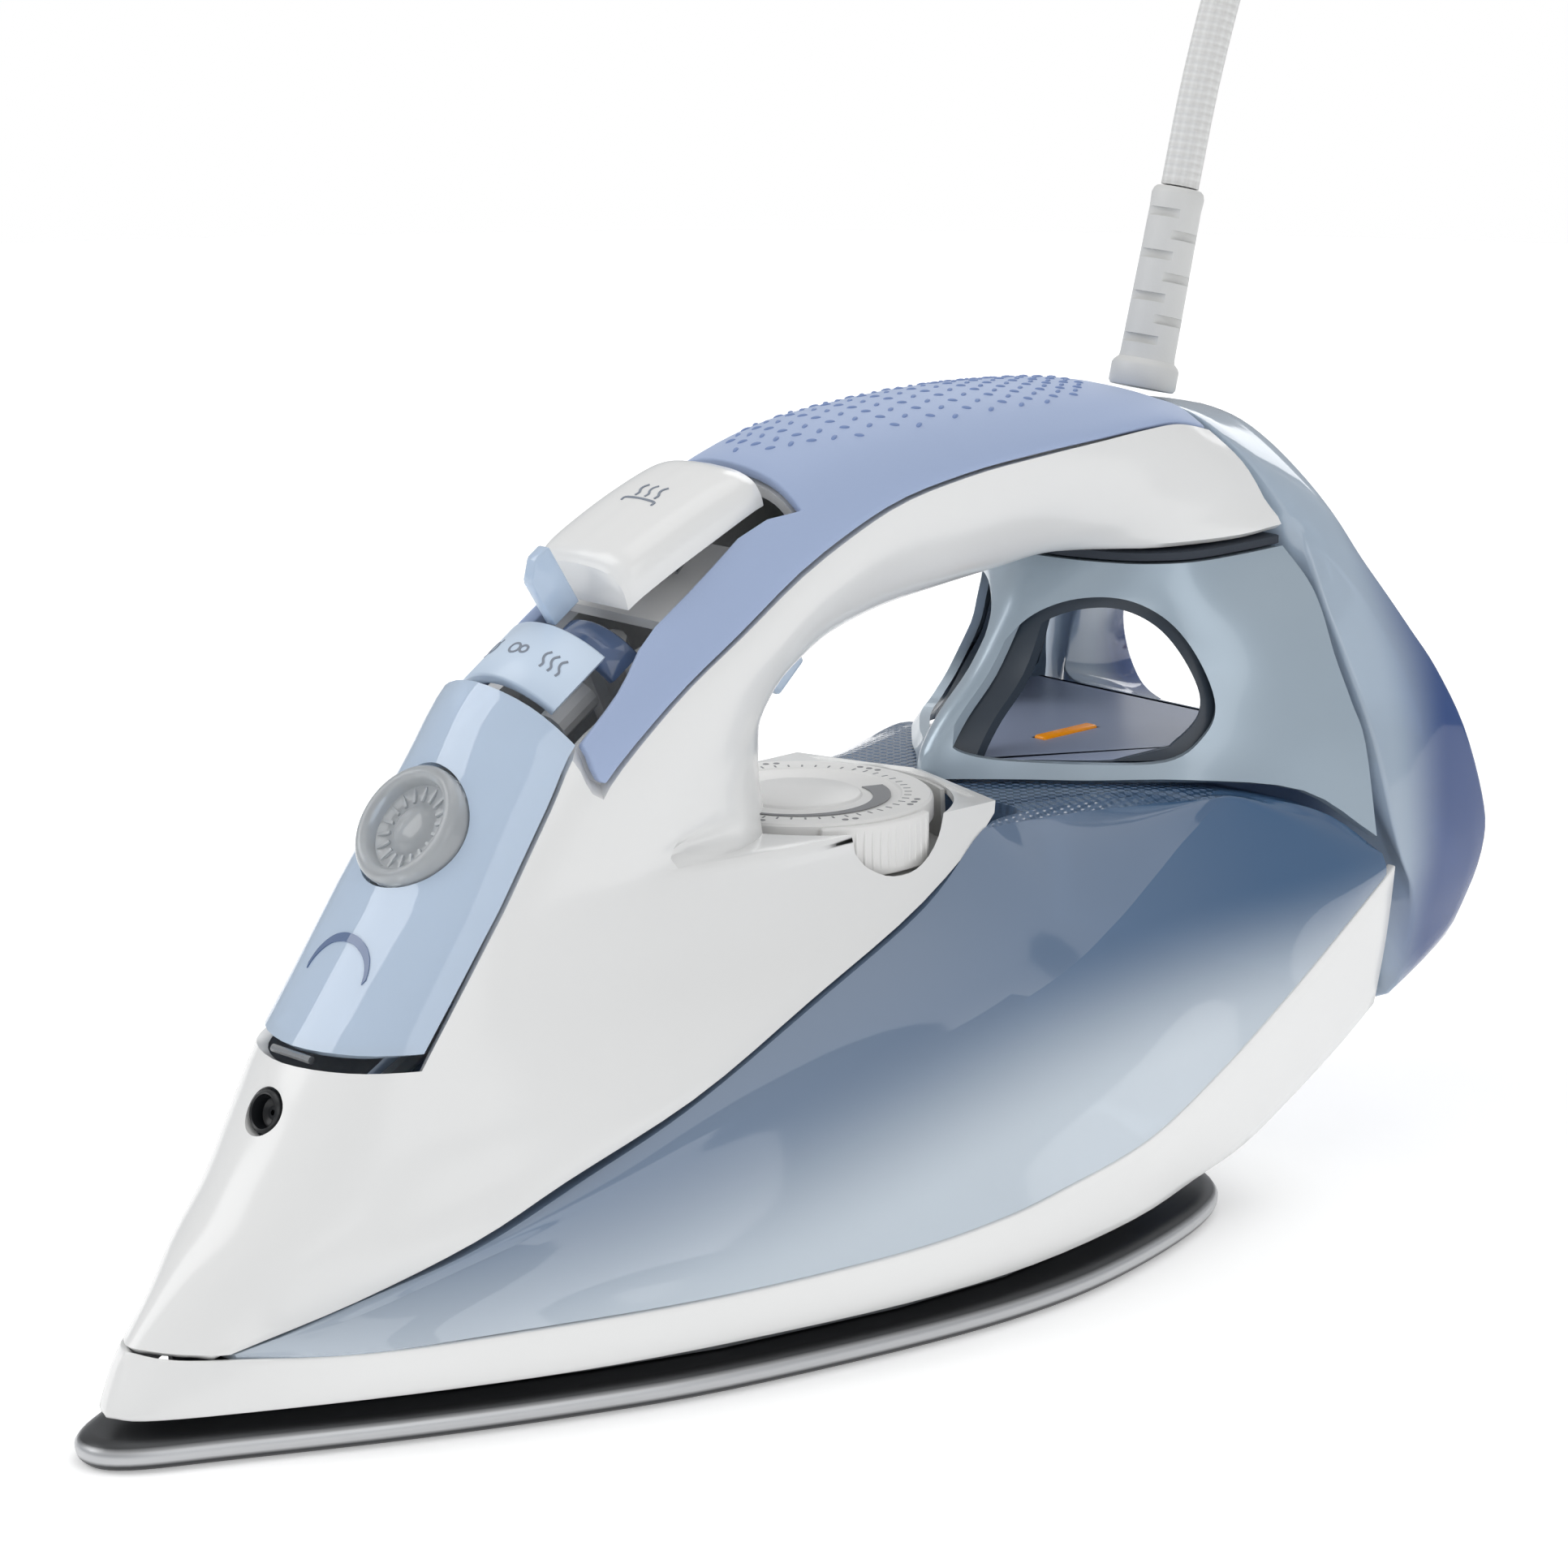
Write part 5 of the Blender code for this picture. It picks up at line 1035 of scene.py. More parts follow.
def make_grip(sizes):
    grid = housing_grid()[GRIP_ROWS[0] * ROW_STEPS:]
    half = grid[:, :3 * COLUMN_STEPS + 1].copy()
    half[:, -1] = half[:, -1] * 0.6 + half[:, -2] * 0.4
    wide = len(half[0]) - 1
    pocket = (POCKET_END - GRIP_ROWS[0]) * ROW_STEPS
    reach = 2 * COLUMN_STEPS
    # The grip closes in on the button, up to 4 mm further than it does on the selector.
    for index in range(pocket + 1):
        start = reach - 2.0 * min(1.0, (index / (0.45 * pocket)) ** 2, (pocket - index) / 1.5)
        places = start + np.arange(wide - reach + 1) * (wide - start) / (wide - reach)
        row = half[index].copy()
        for place, spot in zip(range(reach, wide + 1), places, strict=True):
            half[index, place] = [np.interp(spot, np.arange(wide + 1), row[:, k]) for k in range(3)]
    grip = skin("soft_handle", [mirrored(row) for row in half],
                lambda row, column: row >= pocket or not wide - reach <= column < wide + reach)
    face_away(grip, (0, 180, 120))
    give_wall(grip, GRIP_THICK - 0.1)
    round_edges(grip, 0.4, 50)
    finish_piece(grip, "body", "soft-touch TPE", ("handle_grip",), 50)
    # Raised dashes run in staggered rows over the crown, shorter towards each end.
    out = normals_of(grid)
    spots = []
    stations = np.arange(pocket + 1, pocket + 5.2 * ROW_STEPS, 0.85)
    for row, station in enumerate(stations):
        low = int(station)
        part = station - low
        line = grid[low] * (1 - part) + grid[low + 1] * part
        faces = out[low] * (1 - part) + out[low + 1] * part
        run = np.concatenate([[0], np.cumsum(np.linalg.norm(np.diff(line, axis=0), axis=1))])
        off_middle = (row - len(stations) / 2) / (len(stations) / 2)
        reach_here = 12.5 * math.sqrt(max(0.0, 1 - off_middle ** 2)) + 2
        across = np.arange(-14, 14.1, sizes.dash_pitch / MM) + (sizes.dash_pitch / MM / 2 if row % 2 else 0)
        for far in across:
            if abs(far) > reach_here:
                continue
            spot = [np.interp(abs(far), run, line[:, k]) for k in range(3)]
            face = [np.interp(abs(far), run, faces[:, k]) for k in range(3)]
            if far < 0:
                spot[0], face[0] = -spot[0], -face[0]
            spots.append((spot, face, (0.5 if row % 2 else -0.5, 1, 0)))
    dashes = repeated("grip_dashes", "bead", spots, (2.0, 0.85, 0.7), "raised TPE")
    finish_piece(dashes, "body", "raised TPE")


def make_door(sizes):
    """The clear filling door with its knob and its flutes, its dark lower edge and the painted shade of a
    finger mark.
    """
    whole = housing_grid()
    out = normals_of(whole)
    low, high = DOOR_ROWS[0] * ROW_STEPS + 1, DOOR_ROWS[1] * ROW_STEPS + 1
    grid = whole[low:high, :2 * COLUMN_STEPS + 1].copy()
    grid[-1] = grid[-1] * 0.68 + grid[-2] * 0.32
    grid[:, -1] = grid[:, -1] * 0.64 + grid[:, -2] * 0.36
    door = skin("clear_door", [mirrored(row) for row in grid])
    face_away(door, (0, 100, 60))
    give_wall(door, DOOR_THICK)
    start = Vector(KNOB_CENTRE) - direction(KNOB_AXIS) * 20
    room = KNOB_RADIUS + 0.5
    take_out(door, turned("knob_cutter", start, KNOB_AXIS, [(room, 0), (room, 30)], 64))
    finish_piece(door, "door", "clear blue polycarbonate", ("filling_door",), 35)
    lip = np.array([point - way * 0.9 for point, way in zip(whole[low, :2 * COLUMN_STEPS + 1],
                                                            out[low, :2 * COLUMN_STEPS + 1], strict=True)])
    edge = tube_mesh("door_edge", mirrored(lip[:-1] - (0, -0.6, -0.6)), 0.7, 10)
    finish_piece(edge, "door", "smoke polycarbonate")
    # A dark crescent below the knob: painted shade in place of the finger dimple's shading.
    def on_door(u, v, lift):
        row = int(v)
        line = whole[row] * (row + 1 - v) + whole[row + 1] * (v - row)
        faces = out[row] * (row + 1 - v) + out[row + 1] * (v - row)
        run = np.concatenate([[0], np.cumsum(np.linalg.norm(np.diff(line, axis=0), axis=1))])
        spot = np.array([np.interp(abs(u), run, line[:, k]) for k in range(3)])
        face = np.array([np.interp(abs(u), run, faces[:, k]) for k in range(3)])
        return (spot + face * lift) * (-1 if u < 0 else 1, 1, 1)

    middle = (DOOR_ROWS[0] + 1.15) * ROW_STEPS
    arc = [(7.5 * math.cos(a), middle + 2.6 * math.sin(a)) for a in np.linspace(0.15, math.pi - 0.15, 13)]
    mark = ribbon("finger_dimple_shade", [arc], 0.5, lambda u, v, lift: on_door(u, v, lift * 2.5))
    finish_piece(mark, "door", "deep blue polycarbonate")
    knob = turned("clear_knob", KNOB_CENTRE, KNOB_AXIS,
                  [(5.2, -13), (6.9, -12.8), (7.5, -12.2), (7.5, -9.2), (8.2, -8.7), (10.4, -8.4),
                   (10.9, -7.8), (KNOB_RADIUS, -7.0), (KNOB_RADIUS, 0.6), (10.8, 1.4), (10.2, 2.0),
                   (9.5, 2.3), (8.8, 2.1),
                   (8.3, 1.4), (7.9, -0.4), (6.6, -0.9), (4.4, -0.8), (3.6, 0.2), (2.6, 0.6), (1.2, 0.7)], 96)
    finish_piece(knob, "door", "clear acrylic", ("door_knob",), 50)
    side, other, along = frame_for(KNOB_AXIS)
    spots = []
    for step in range(sizes.knob_flutes):
        angle = math.tau * step / sizes.knob_flutes
        way = side * math.cos(angle) + other * math.sin(angle)
        spots.append((Vector(KNOB_CENTRE) + way * 6.3 - along * 0.75, along, way))
    flutes = repeated("knob_flutes", "bar", spots, (2.6, 0.5, 0.7), "clear acrylic")
    finish_piece(flutes, "door", "clear acrylic")


def sleeve_spot(turn, along, reach):
    """A point of the selector's sleeve: turn in degrees from the top, distance along it, and radius."""
    axis = direction(SELECTOR_AXIS)
    top = Vector((0, -axis.z, axis.y))
    angle = math.radians(turn)
    return Vector(SELECTOR_START) + axis * along + (Vector((1, 0, 0)) * math.sin(angle)
                                                    + top * math.cos(angle)) * reach


def arc_shell(name, start, length, radius, thick, spread, steps=40):
    """Part of a sleeve round the selector's axis, with softly rounded ends."""
    rings = []
    for at, less in ((start, 0.5), (start + 0.5, 0), (start + length - 0.5, 0), (start + length, 0.5)):
        turns = [spread * (2 * k / steps - 1) for k in range(steps + 1)]
        rings.append([sleeve_spot(t, at, radius - less) for t in turns]
                     + [sleeve_spot(t, at, radius - thick) for t in turns[::-1]])
    return loft(name, rings)


def ribbon(name, strokes, width, onto):
    """Thin printed lines: strokes are lists of (u, v), and onto(u, v, lift) puts a point on the surface."""
    points, faces = [], []
    for stroke in strokes:
        line = np.array([(*p, 0.0) for p in stroke])
        line = (curve_through(line, 5) if len(stroke) > 2 else line)[:, :2]
        ahead = np.gradient(line, axis=0)
        ahead /= np.linalg.norm(ahead, axis=1)[:, None]
        side = np.stack([-ahead[:, 1], ahead[:, 0]], 1) * width / 2
        start = len(points)
        for spot, way in zip(line, side, strict=True):
            for corner, lift in ((spot + way, 0.09), (spot - way, 0.09),
                                 (spot - way, -0.1), (spot + way, -0.1)):
                points.append(onto(*corner, lift))
        faces += [tuple(start + i for i in corners) for _, _, corners in cells(len(line), 4, closed=True)]
        end = len(points) - 4
        faces += [(start + 3, start + 2, start + 1, start), (end, end + 1, end + 2, end + 3)]
    return new_piece(name, points, faces)


def wave(u, v, tall, amp=0.45):
    """One rising wisp of steam."""
    return [(u + amp * math.sin(k * math.pi / 2 + 0.6), v + tall * k / 4) for k in range(5)]


def ring_stroke(u, v, radius):
    return [(u + radius * math.cos(a), v + radius * math.sin(a))
            for a in np.linspace(0.3, math.tau + 0.2, 14)]


def make_selector(sizes):
    sleeve = arc_shell("selector_sleeve", 0.6, SELECTOR_LENGTH - 0.6, SELECTOR_RADIUS, 2.0, 47.5)
    finish_piece(sleeve, "selector", "pale blue ABS", ("steam_selector",), 50)
    centre = (SELECTOR_LENGTH + 0.6) / 2
    marks = []
    for turn, kind in ((-27, "dry"), (0, "some"), (27, "full")):
        u = math.radians(turn) * SELECTOR_RADIUS
        if kind == "dry":
            marks += [ring_stroke(u, centre + 0.3, 1.3), [(u - 1.6, centre - 1.6), (u + 1.6, centre + 2.0)]]
        elif kind == "some":
            marks += [ring_stroke(u - 0.9, centre, 1.1), ring_stroke(u + 1.2, centre + 0.2, 0.8)]
        else:
            marks += [wave(u + d, centre - 1.8, 3.6) for d in (-1.7, 0, 1.7)]
    icons = ribbon("selector_icons", marks, 0.42,
                   lambda u, v, lift: sleeve_spot(math.degrees(u / SELECTOR_RADIUS), v,
                                                  SELECTOR_RADIUS + lift))
    finish_piece(icons, "selector", "pad-printed ink")
    axis = direction(SELECTOR_AXIS)
    up = Vector((0, -axis.z, axis.y))
    root = Vector(SELECTOR_START) + axis * (SELECTOR_LENGTH + 0.8) + up * (SELECTOR_RADIUS - 1.6)
    outline = [(0, 0), (0, 9.2), (0.3, 9.9), (2.8, 12.2), (3.4, 12.5), (6.1, 12.5), (6.5, 12.1), (6.5, 0)]
    lever = loft("clear_lever", [[root + axis * a + up * b + Vector((x, 0, 0)) for a, b in outline]
                                 for x in (-1.2, 1.2)])
    round_edges(lever, 0.3, 40)
    finish_piece(lever, "selector", "clear blue polycarbonate", ("selector_lever",), 50)
    # The tray is painted dark slate blue as painted shade in the recess round the selector.
    tray = arc_shell("recess_floor", SELECTOR_LENGTH + 0.5, TRAY_LENGTH, SELECTOR_RADIUS - 6.2, 1.6, 66)
    finish_piece(tray, "body", "deep blue polycarbonate", ("control_tray",), 50)


def make_button(sizes):
    """The steam button, with its printed mark."""
    into = direction(BUTTON_TRAVEL_AXIS)
    stations = curve_through([(108, 134, 10.5, 7.4), (110, 137, 11.9, 8.1), (117.5, 140.8, 12.4, 8.1),
                              (126.5, 144.6, 12.4, 8.1), (135, 147.4, 12.1, 7.6), (139.4, 147.2, 11, 6.6)], 6)
    rings = []
    for s, z, half, high in stations:
        section = curve_through([(0, 0, 0), (half * 0.55, 0, 0.4), (half * 0.88, 0, 1.8), (half, 0, 4.2),
                                 (half, 0, high)], 5)
        ring = [Vector((x, s, z)) + into * depth for x, _, depth in section]
        rings.append(ring[1:] + [Vector((-p.x, p.y, p.z)) for p in ring[:0:-1]] + [ring[0]])
    cap = loft("steam_key", rings)
    round_edges(cap, 0.9, 45, 4)
    # The key is hollow above its spring.
    take_out(cap, turned("spring_room", Vector((0, 123, 143)) + into * 4.5, into, [(5.2, 0), (5.2, 20)], 48))
    finish_piece(cap, "button", "glossy white ABS", ("steam_button",), 55)

    def crown(u, v, lift):
        s = 124 + v
        z = np.interp(s, stations[:, 0], stations[:, 1])
        drop = 0.4 * (abs(u) / 6.9) ** 2
        return Vector((u, s, z)) + into * (drop - lift - 0.02)

    marks = [wave(d, -0.4, 3.4) for d in (-2.4, 0, 2.4)]
    marks.append([(-3.8, -2.2), (-3.2, -1.2), (3.2, -1.2), (3.8, -2.2)])
    mark = ribbon("steam_mark", marks, 0.4, crown)
    finish_piece(mark, "button", "pad-printed ink")


def make_trigger_and_nozzle(sizes):
    trigger = block("clear_trigger", (0, 153.5, 111.2), (3.2, 8.6, 13), 0.72)
    round_edges(trigger, 0.9, 40, 3)
    finish_piece(trigger, "trigger", "clear blue polycarbonate", ("steam_trigger",), 50)
    start = Vector(NOZZLE_CENTRE) - direction(NOZZLE_AXIS) * 7
    nozzle = turned("black_nozzle", start, NOZZLE_AXIS,
                    [(3.7, 0), (3.7, 6.8), (3.55, 7.3), (3.2, 7.6), (2.9, 7.4), (2.7, 6.6), (2.6, 5.2),
                     (2.2, 4.8), (1.3, 4.6), (1.1, 5.3), (0.6, 5.3)], 48, 0.5)
    finish_piece(nozzle, "body", "black acetal", ("spray_nozzle",), 40)


def make_dial(sizes):
    """The heat dial with its scale, its ribbed tab and the well round it."""
    low, high = DIAL_Z
    disc = turned("heat_dial", (0, DIAL_S, 0), (0, 0, 1),
                  [(21.5, low - 1.2), (22.5, low - 1.1), (23.6, low - 0.4), (DIAL_RADIUS, low + 0.2),
                   (DIAL_RADIUS, high - 1.0), (23.8, high - 0.4), (23.3, high), (18.4, high),
                   (18.1, high - 0.25), (17.3, high - 0.3), (16.9, high - 0.5), (11.2, high - 0.5),
                   (11.0, high - 0.2), (10.6, high),
                   (3.0, high + 0.15), (1.0, high + 0.15)], 128)
    finish_piece(disc, "dial", "satin white ABS", ("temperature_dial",), 30)
    points = []
    steps = 60
    for k in range(steps + 1):
        angle = math.radians(-100 + 170 * k / steps)
        thick = 0.5 + 3.6 * (k / steps) ** 1.5
        for radius, z in ((16.3, -0.45), (16.3, -0.28), (16.3 - thick, -0.28), (16.3 - thick, -0.45)):
            points.append((radius * math.cos(angle), DIAL_S + radius * math.sin(angle), high + z))
    faces = [corners for _, _, corners in cells(steps + 1, 4, closed=True)]
    faces += [(3, 2, 1, 0), tuple(range(4 * steps, 4 * steps + 4))]
    wedge = new_piece("scale_wedge", points, faces)
    finish_piece(wedge, "dial", "printed scale", ("dial_scale",))
    ticks = []
    for k in range(sizes.dial_ticks):
        angle = math.radians(-100 + 330 * k / (sizes.dial_ticks - 1))
        way = Vector((math.cos(angle), math.sin(angle), 0))
        ticks.append((Vector((0, DIAL_S, high)) + way * 19.4, (0, 0, 1), way))
    marks = repeated("dial_ticks", "bar", ticks, (1.3, 0.35, 0.08), "printed scale")
    finish_piece(marks, "dial", "printed scale")
    dots = []
    for count, turn in ((1, -62), (2, -20), (3, 26), (3, 100), (2, 150), (1, 200)):
        for k in range(count):
            angle = math.radians(turn + 5.2 * (k - (count - 1) / 2))
            way = Vector((math.cos(angle), math.sin(angle), 0))
            dots.append((Vector((0, DIAL_S, high)) + way * 21.6, (0, 0, 1), way))
    spots = repeated("dial_dots", "disc", dots, (1.2, 1.2, 0.08), "printed scale")
    finish_piece(spots, "dial", "printed scale")
    ring = []
    for reach, way in ((26.0, 1), (24.3, -1)):
        for k in range(25)[::way]:
            angle = math.radians(-36 + 54 * k / 24)
            ring.append((reach * math.cos(angle), DIAL_S + reach * math.sin(angle)))
    tab = loft("dial_grip", [[(x, s, z) for x, s in ring] for z in (WELL_FLOOR + 2, high - 0.4)])
    round_edges(tab, 0.4, 50)
    finish_piece(tab, "dial", "satin white ABS", ("dial_tab",), 50)
    ribs = []
    for k in range(14):
        angle = math.radians(-33 + 48 * k / 13)
        way = Vector((math.cos(angle), math.sin(angle), 0))
        ribs.append((Vector((0, DIAL_S, (WELL_FLOOR + 2 + high) / 2)) + way * 26.0, way, (0, 0, 1)))
    ridges = repeated("dial_ridges", "bead", ribs, (7.6, 0.7, 0.5), "satin white ABS")
    finish_piece(ridges, "dial", "satin white ABS")
    profile = [(2.9, 0), (WELL_RADIUS - 0.4, 0), (WELL_RADIUS - 0.4, None), (WELL_RADIUS - 1.2, None),
               (WELL_RADIUS - 1.2, 1.2), (2.9, 1.2), (2.9, 0)]
    points = []
    sides = 128
    for radius, rise in profile:
        for k in range(sides):
            angle = math.tau * k / sides
            wall = 10.4 if abs(math.sin(angle)) > 0.86 else 1.6
            points.append((radius * math.cos(angle), DIAL_S + radius * math.sin(angle),
                           WELL_FLOOR + (wall if rise is None else rise)))
    well = new_piece("dial_recess", points,
                     [corners for _, _, corners in cells(len(profile), sides, closed=True)])
    finish_piece(well, "body", "matt white ABS", ("dial_well",), 30)


def column_half(drop):
    """The column's fine surface on one side, sunk by drop."""
    coarse = np.array([curve_through([row[1] * np.array((-1, 1, 1)), *row], COLUMN_STEPS)[COLUMN_STEPS:]
                       for row in np.array(COLUMN, float)])
    rows = curve_through(coarse, ROW_STEPS)
    rows = rows - normals_of(rows, (0, 262, 95)) * drop
    rows[:, 0, 0] = 0
    return rows


def window_cutter(name, side, inset):
    """A slanted prism through the window on one side, square to the diagonal wall."""
    middle = np.mean(WINDOW, axis=0)
    outline = closed_curve([(*p, 0) for p in WINDOW], 6)[:, :2]
    rings = []
    for x in (2.6 + inset, 60):
        ring = []
        for run, z in outline:
            away = np.array((run, z)) - middle
            inner = middle + away * (1 - inset / np.linalg.norm(away))
            # The dark ring fades out along the sill, so that the pad is seen.
            if inset and z < 92 and run < 184:
                inner[1] = min(inner[1], PAD_TOP + 0.2 + max(0.0, run - 172) * 0.2)
            ring.append((side * x, inner[0] * math.sqrt(2) - x, inner[1]))
        rings.append(ring)
    return loft(name, rings)


def roofed_skin(name, halves, thick):
    """The column's walls and roof as one shell."""
    rows = [mirrored(row) for row in halves]
    count = len(rows[0])
    last = (len(rows) - 1) * count
    roof = [(last + a, last + a + 1, last + count - 2 - a, last + count - 1 - a)
            for a in range((count - 1) // 2)]
    shell = skin(name, rows, caps=[tuple(dict.fromkeys(face)) for face in roof])
    face_away(shell, (0, 262, 95))
    give_wall(shell, thick)
    return shell


def make_column(sizes):
    shell = roofed_skin("silver_column", column_half(0), COLUMN_THICK)
    depth = COLUMN_THICK + 0.9
    rows = column_half(depth)[3:]
    rows[..., 2] = np.clip(rows[..., 2], PAD_TOP + 0.4, 117.2)
    rows[..., 1] = np.minimum(rows[..., 1], 263.2)
    # The liner is dark as painted shade: the inside of the column, seen through its windows.
    liner = roofed_skin("shade_dark_liner", rows, LINER_THICK)
    for side, word in ((1, "right"), (-1, "left")):
        take_out(shell, window_cutter("window_cutter_" + word, side, 0))
        take_out(liner, window_cutter("liner_cutter_" + word, side, 2.6))
    finish_piece(shell, "body", "silver-blue lacquer", ("rear_column",), 34)
    finish_piece(liner, "body", "smoke polycarbonate", ("column_liner",), 34)
    half = curve_through(np.array(COLUMN[-1]), 4)
    ring = loop_of([*half, (0, half[-1][1], 119.6)])
    middle = np.array((0, 246, 119.6))
    rings = [[(p - middle) * (scale, scale, 1) + middle + (0, 0, dz) for p in ring]
             for scale, dz in ((0.96, 0.3), (0.975, 0.5), (0.975, 1.9), (0.96, 2.1))]
    gasket = loft("dark_gasket", rings)
    finish_piece(gasket, "body", "seam shadow", ("column_gasket",), 50)


def make_pad(sizes):
    """The pad inside the column, with its amber light."""
    floor = column_half(COLUMN_THICK + LINER_THICK + 1.6)[4]
    floor[-1][1] = 262.8
    ring = loop_of([*floor, (0, 262.8, 0)])[:, :2]
    middle = np.array((0, 240))
    rings = [[(*((p - middle) * scale + middle), z) for p in ring]
             for scale, z in ((1, DECK_Z + GAP), (1, PAD_TOP - 0.5), (0.985, PAD_TOP))]
    pad = loft("light_pad", rings)
    socket = block("light_socket", (0, 231, PAD_TOP), (3.4, 15.4, 3.2))
    take_out(pad, socket)
    finish_piece(pad, "body", "lavender ABS", ("indicator_pad",), 30)
    bar = block("amber_bar", (0, 231, PAD_TOP - 0.35), (2.9, 14.8, 1.7))
    round_edges(bar, 0.55, 40, 4)
    finish_piece(bar, "body", "amber acrylic", ("indicator_light",), 60)


def make_heel(sizes):
    """The heel cover, a see-through frame that the iron stands on."""
    loops = [fine_half(loop, 4) for loop in (HEEL_FRONT, HEEL_BACK, HEEL_WINDOW, HEEL_INSIDE)]
    front, back, window, inside = loops
    rings = []
    for a, b, lift in ((front, back, 0.8), (back, window, 0.5), (window, inside, 0.0), (inside, front, 0.0)):
        for share in (0, 0.25, 0.5, 0.75):
            rings.append(a + (b - a) * share + np.array((0, lift * math.sin(math.pi * share), 0)))
    rings.append(rings[0])
    rings = [loop_of(ring) for ring in rings]
    cover = new_piece("heel_frame", [p for ring in rings for p in ring],
                      [corners for _, _, corners in cells(len(rings), len(rings[0]), closed=True)])
    round_edges(cover, 0.8, 38, 3)
    finish_piece(cover, "body", "blue-edged SAN", ("heel_cover",), 50)


KEPT = {
    "steam_chamber": "cast aluminium", "heating_element": "drawn steel", "chamber_lid": "cast aluminium",
    "thermostat": "turned brass", "thermal_fuse": "clear acrylic", "lid_screw_right": "drawn steel",
    "lid_screw_left": "drawn steel", "tank_floor": "tinted SAN", "door_hinge_pin": "drawn steel",
    "filler_tray": "matt white ABS", "selector_shaft": "satin white ABS", "valve_rod": "drawn steel",
    "drip_valve": "turned brass", "button_base": "satin white ABS", "button_spring": "drawn steel",
    "spray_pump": "satin white ABS", "steam_pump": "satin white ABS", "spray_hose": "silicone rubber",
    "steam_hose": "silicone rubber", "dial_shaft": "drawn steel", "control_board": "green circuit board",
    "terminal_block": "satin white ABS", "cord_clamp": "satin white ABS", "plug_pin_rear": "turned brass",
    "plug_pin_front": "turned brass",
}


def paint_kept_pieces(sizes):
    """Gives the inner pieces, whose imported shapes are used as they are, their materials."""
    for name, finish in KEPT.items():
        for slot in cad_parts[name].material_slots:
            slot.material = material(finish)


def make_studio(sizes):
    """A plain pale floor, soft studio light and the camera."""
    scene = bpy.context.scene
    floor_material = bpy.data.materials.new("white paper sweep")
    floor_material.use_nodes = True
    # Matt white paper: no shine and hardly any grain.
    tree = floor_material.node_tree
    shader = tree.nodes["Principled BSDF"]
    spot = add(tree, "ShaderNodeTexCoord").outputs["Object"]
    grain = add(tree, "ShaderNodeTexNoise", {"Vector": spot, "Scale": 40.0})
    tone = add(tree, "ShaderNodeMix", {0: grain.outputs["Fac"], 6: linear("#fbfbfb"), 7: linear("#f9f9f9")},
               data_type="RGBA")
    tree.links.new(tone.outputs[2], shader.inputs["Base Color"])
    shader.inputs["Roughness"].default_value = 0.9
    shader.inputs["Emission Color"].default_value = linear("#ffffff")
    shader.inputs["Emission Strength"].default_value = 0.3
    mesh = bpy.data.meshes.new("studio_floor")
    rim = [(1.4 * math.cos(k * math.tau / 96), 1.4 * math.sin(k * math.tau / 96), 0) for k in range(96)]
    mesh.from_pydata(rim, [], [tuple(range(96))])
    mesh.materials.append(floor_material)
    floor = bpy.data.objects.new("studio_floor", mesh)
    scene.collection.objects.link(floor)
    world = bpy.data.worlds.new("studio air")
    scene.world = world
    world.use_nodes = True
    tree = world.node_tree
    air = tree.nodes["Background"]
    way = add(tree, "ShaderNodeSeparateXYZ", {"Vector": add(tree, "ShaderNodeTexCoord").outputs["Generated"]})
    lift = add(tree, "ShaderNodeMapRange", {"Value": way.outputs["Z"], "From Min": -0.1, "From Max": 0.7})
    sky = add(tree, "ShaderNodeMix", {0: lift.outputs[0], 6: linear("#c9d0d8"), 7: linear("#ffffff")},
              data_type="RGBA")
    eye = add(tree, "ShaderNodeLightPath")
    seen = add(tree, "ShaderNodeMix", {0: eye.outputs["Is Camera Ray"], 6: sky.outputs[2],
                                       7: linear("#ffffff")}, data_type="RGBA")
    tree.links.new(seen.outputs[2], air.inputs["Color"])
    power = add(tree, "ShaderNodeMapRange", {"Value": eye.outputs["Is Camera Ray"], "To Min": sizes.air_light,
                                             "To Max": 1.0})
    tree.links.new(power.outputs[0], air.inputs["Strength"])
    lamps = (("key", (-0.9, -1.1, 1.3), 1.1, 9.0), ("fill", (1.4, -0.3, 0.7), 1.0, 3.2),
             ("top", (0.1, 0.4, 1.7), 1.4, 5.0), ("back", (-0.6, 1.3, 0.9), 0.9, 4.0))
    for name, place, size, power in lamps:
        lamp = bpy.data.lights.new(name, "AREA")
        lamp.size = size
        lamp.energy = power
        made = bpy.data.objects.new(name, lamp)
        made.location = place
        made.rotation_euler = (Vector((0, 0, 0.08)) - Vector(place)).to_track_quat("-Z", "Y").to_euler()
        scene.collection.objects.link(made)
    camera = bpy.data.cameras.new("camera")
    camera.lens = 113.14
    camera.sensor_width = 36
    camera.dof.use_dof = False
    made = bpy.data.objects.new("camera", camera)
    made.location = (0.61422, -0.58512, 0.29979)
    target = Vector((0, 0.00802, 0.08690))
    made.rotation_euler = (target - made.location).to_track_quat("-Z", "Y").to_euler()
    scene.collection.objects.link(made)
    scene.camera = made
    scene.view_settings.view_transform = "Standard"


# The add-on

